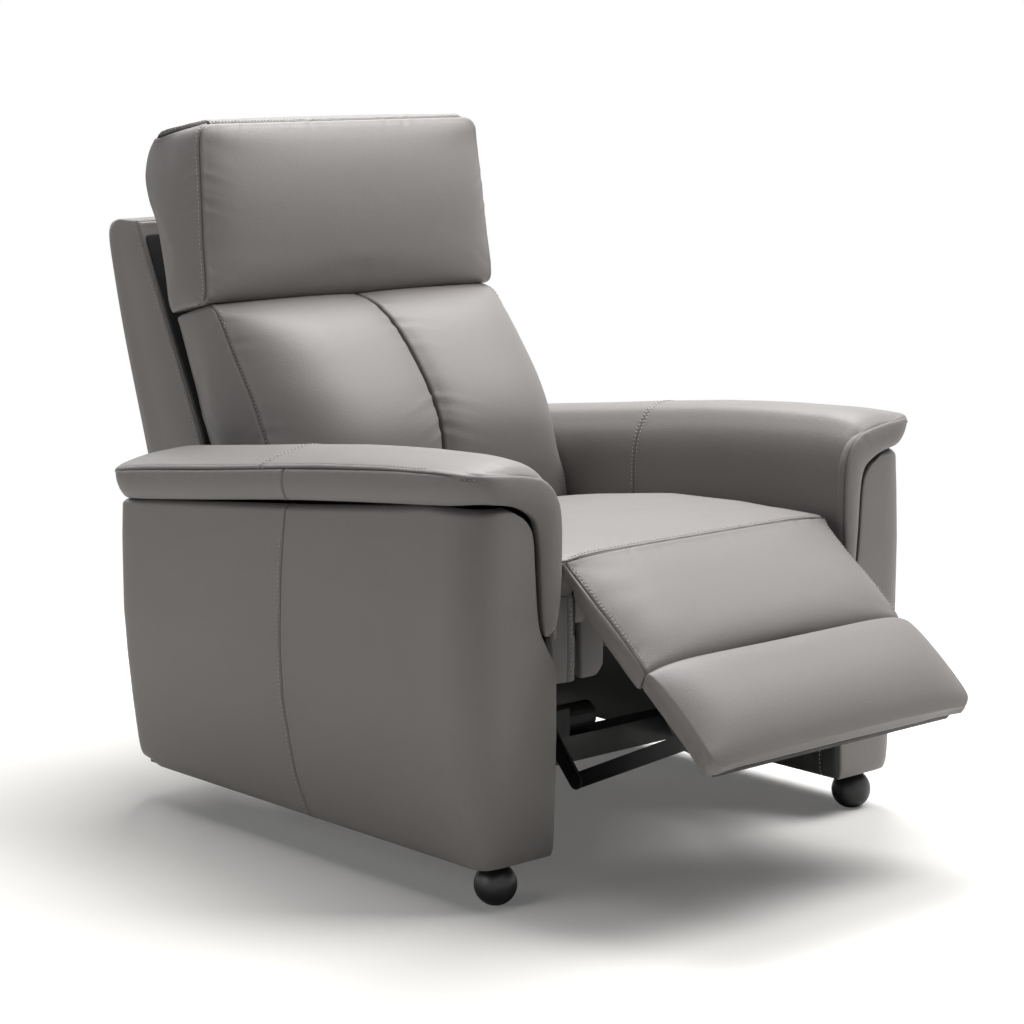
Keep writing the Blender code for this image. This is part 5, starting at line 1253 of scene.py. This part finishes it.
# %% Feet
FEET = [n for n in NODES if n.startswith("foot_")]
FRONT_NECK, REAR_NECK = 0.0600, 0.0770
BALL = [(0.0001, 0.0), (0.0095, 0.0), (0.0105, 0.0003)]
BALL += [(0.0295 * math.cos(a), 0.0275 + 0.0295 * math.sin(a)) for a in np.radians(np.arange(-66, 66, 6))]
BALL += [(0.0120, 0.0552), (0.0118, 0.0570)]


def turned(name, profile, centre, sides=48):
    """A closed form turned round a vertical axis from (radius, height) pairs."""
    turns = [2 * math.pi * k / sides for k in range(sides)]
    points = [(centre.x + r * math.cos(a), centre.y + r * math.sin(a), z) for r, z in profile for a in turns]
    faces = [(i * sides + k, i * sides + n, (i + 1) * sides + n, (i + 1) * sides + k)
             for i in range(len(profile) - 1) for k, n in ((k, (k + 1) % sides) for k in range(sides))]
    faces.append(tuple(reversed(range(sides))))
    faces.append(tuple(range((len(profile) - 1) * sides, len(profile) * sides)))
    return closed_piece(name, points, faces)


for node in FEET:
    low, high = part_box(node)
    neck = FRONT_NECK if "front" in node else REAR_NECK
    foot = turned(f"{node}_ball", BALL + [(0.0118, neck), (0.0001, neck)], (low + high) / 2)
    foot.data.materials.append(foot_plastic)
    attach(foot, "base")
    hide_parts(node)
print("feet:", FEET)

# %% [markdown]
# The steelwork, drives and boards keep the frame's shapes. Each is black steel, unless the start of its
# name stands in the table with another finish.

# %% Finishes of the frame
# The black boards also stand in as painted shade where they show in the gaps between the cushions.
MADE_OF = ((stained_board_and_gap_shade, ("arm_frame", "back_frame", "leg_rest_board")), (plywood, ("seat_deck",)),
           (black_plastic, ("control_box", "switch_plate", "leg_actuator_housing", "leg_actuator_motor",
                            "recline_actuator_housing", "recline_actuator_motor")),
           (bright_steel, ("leg_actuator_rod", "recline_actuator_rod")),
           (button_plastic, ("leg_rest_button", "recline_button")))
for name, node in NODES.items():
    node.data.materials.clear()
    node.data.materials.append(next((made for made, starts in MADE_OF if name.startswith(starts)), black_steel))
print("black steel:", sum(node.data.materials[0] == black_steel for node in NODES.values()), "nodes")

# %% [markdown]
# A stitch is a short length of thick thread that sinks into the leather at both ends. Hundreds of
# them follow the seams, which is work for Geometry Nodes: the rows are edge lines with a direction
# stored on each point, the tree turns them into curves, walks them at the stitch length and sets a
# small spindle on each step, its length along the seam and its back away from the leather. Without a
# pitch the same tree sets its form on the points themselves, which serves for the rivets further down.


# %% Stitches by Geometry Nodes
def planting_tree(name, sizes, axes, segments, rings, radius):
    """Sets a ball, as long, deep and high as the named sizes, on rows or on points with a direction."""
    tree, given, result = group(name, "GeometryNodeTree",
                                {"Geometry": "Geometry", **sizes, "Material": "Material"},
                                {"Geometry": "Geometry"})
    outward = add(tree, "GeometryNodeInputNamedAttribute", {"Name": "outward"},
                  data_type="FLOAT_VECTOR").outputs["Attribute"]
    spots = given.outputs["Geometry"]
    if "Pitch" in sizes:
        curve = add(tree, "GeometryNodeMeshToCurve", {"Mesh": spots})
        spots = add(tree, "GeometryNodeResampleCurve",
                    {"Curve": curve.outputs[0], "Length": given.outputs["Pitch"]}, mode="LENGTH").outputs[0]
        run = add(tree, "GeometryNodeInputTangent").outputs[0]
        turn = add(tree, "FunctionNodeAlignRotationToVector", {"Vector": run}, axis="X").outputs[0]
        turn = add(tree, "FunctionNodeAlignRotationToVector", {"Rotation": turn, "Vector": outward},
                   axis="Z", pivot_axis="X").outputs[0]
    else:
        turn = add(tree, "FunctionNodeAlignRotationToVector", {"Vector": outward}, axis="Z").outputs[0]
    ball = add(tree, "GeometryNodeMeshUVSphere", {"Segments": segments, "Rings": rings, "Radius": radius})
    size = add(tree, "ShaderNodeCombineXYZ", {axis: given.outputs[label] for axis, label in zip("XYZ", axes)})
    put = add(tree, "GeometryNodeInstanceOnPoints", {"Points": spots, "Instance": ball.outputs["Mesh"],
                                                     "Rotation": turn, "Scale": size.outputs[0]})
    real = add(tree, "GeometryNodeRealizeInstances", {0: put.outputs[0]})
    paint = add(tree, "GeometryNodeSetMaterial", {"Geometry": real.outputs[0],
                                                  "Material": given.outputs["Material"]})
    feed(tree, result.inputs["Geometry"], paint.outputs[0])
    return tree


def plant(name, body, tree, made, slot, points, outward, edges=()):
    """Runs the tree on points with their directions, and keeps what grows as a plain mesh on a body."""
    piece = new_piece(name, points, edges)
    arrows = piece.data.attributes.new("outward", "FLOAT_VECTOR", "POINT")
    arrows.data.foreach_set("vector", [c for way in outward for c in way])
    grow = piece.modifiers.new("grow", "NODES")
    grow.node_group = tree
    socket = next(s for s in tree.interface.items_tree if s.name == "Material")
    grow[socket.identifier] = made
    keep_result(piece)
    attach(piece, body)
    return piece


STITCH = {"Pitch": STITCH_PITCH, "Stitch length": 0.0044, "Thread": 0.0012}
stitches = planting_tree("Stitches along seams", STITCH, ("Stitch length", "Thread", "Thread"),
                         segments=6, rings=4, radius=0.5)
for body, rows in STITCHES.items():
    points, edges, outward = [], [], []
    for row in rows:
        edges += [(len(points) + i, len(points) + i + 1) for i in range(len(row) - 1)]
        points += [spot for spot, _ in row]
        outward += [normal for _, normal in row]
    threads = plant(f"stitching_{body}", body, stitches, thread, "leather", points, outward, edges)
    print(threads.name, len(threads.data.polygons) // 24, "stitches")

# %% [markdown]
# Every joint of the linkage is a shouldered rivet with a low domed head. Where a pin or a pivot sits is
# read from the frame: the middle of each pin's box and its two ends. The tree sets a domed head on
# every point, turned to the side it faces.

# %% Rivet heads by Geometry Nodes
SHORTEST_PIN = 0.004
rivets = planting_tree("Rivet heads on points", {"Radius": 0.0065, "Height": 0.0022},
                       ("Radius", "Radius", "Height"), segments=20, rings=10, radius=1.0)
heads = {}
for name, node in NODES.items():
    low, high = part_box(name)
    if ("pin" in name or "pivot" in name) and high.x - low.x > SHORTEST_PIN:
        middle = (low + high) / 2
        heads.setdefault(body_of(node)[0], []).extend(
            ((x, middle.y, middle.z), (way, 0, 0)) for x, way in ((low.x, -1), (high.x, 1)))
for body, spots in heads.items():
    plant(f"rivets_{body}", body, rivets, bright_steel, "black_steel", *zip(*spots))
print("rivet heads:", {body: len(spots) for body, spots in heads.items()})
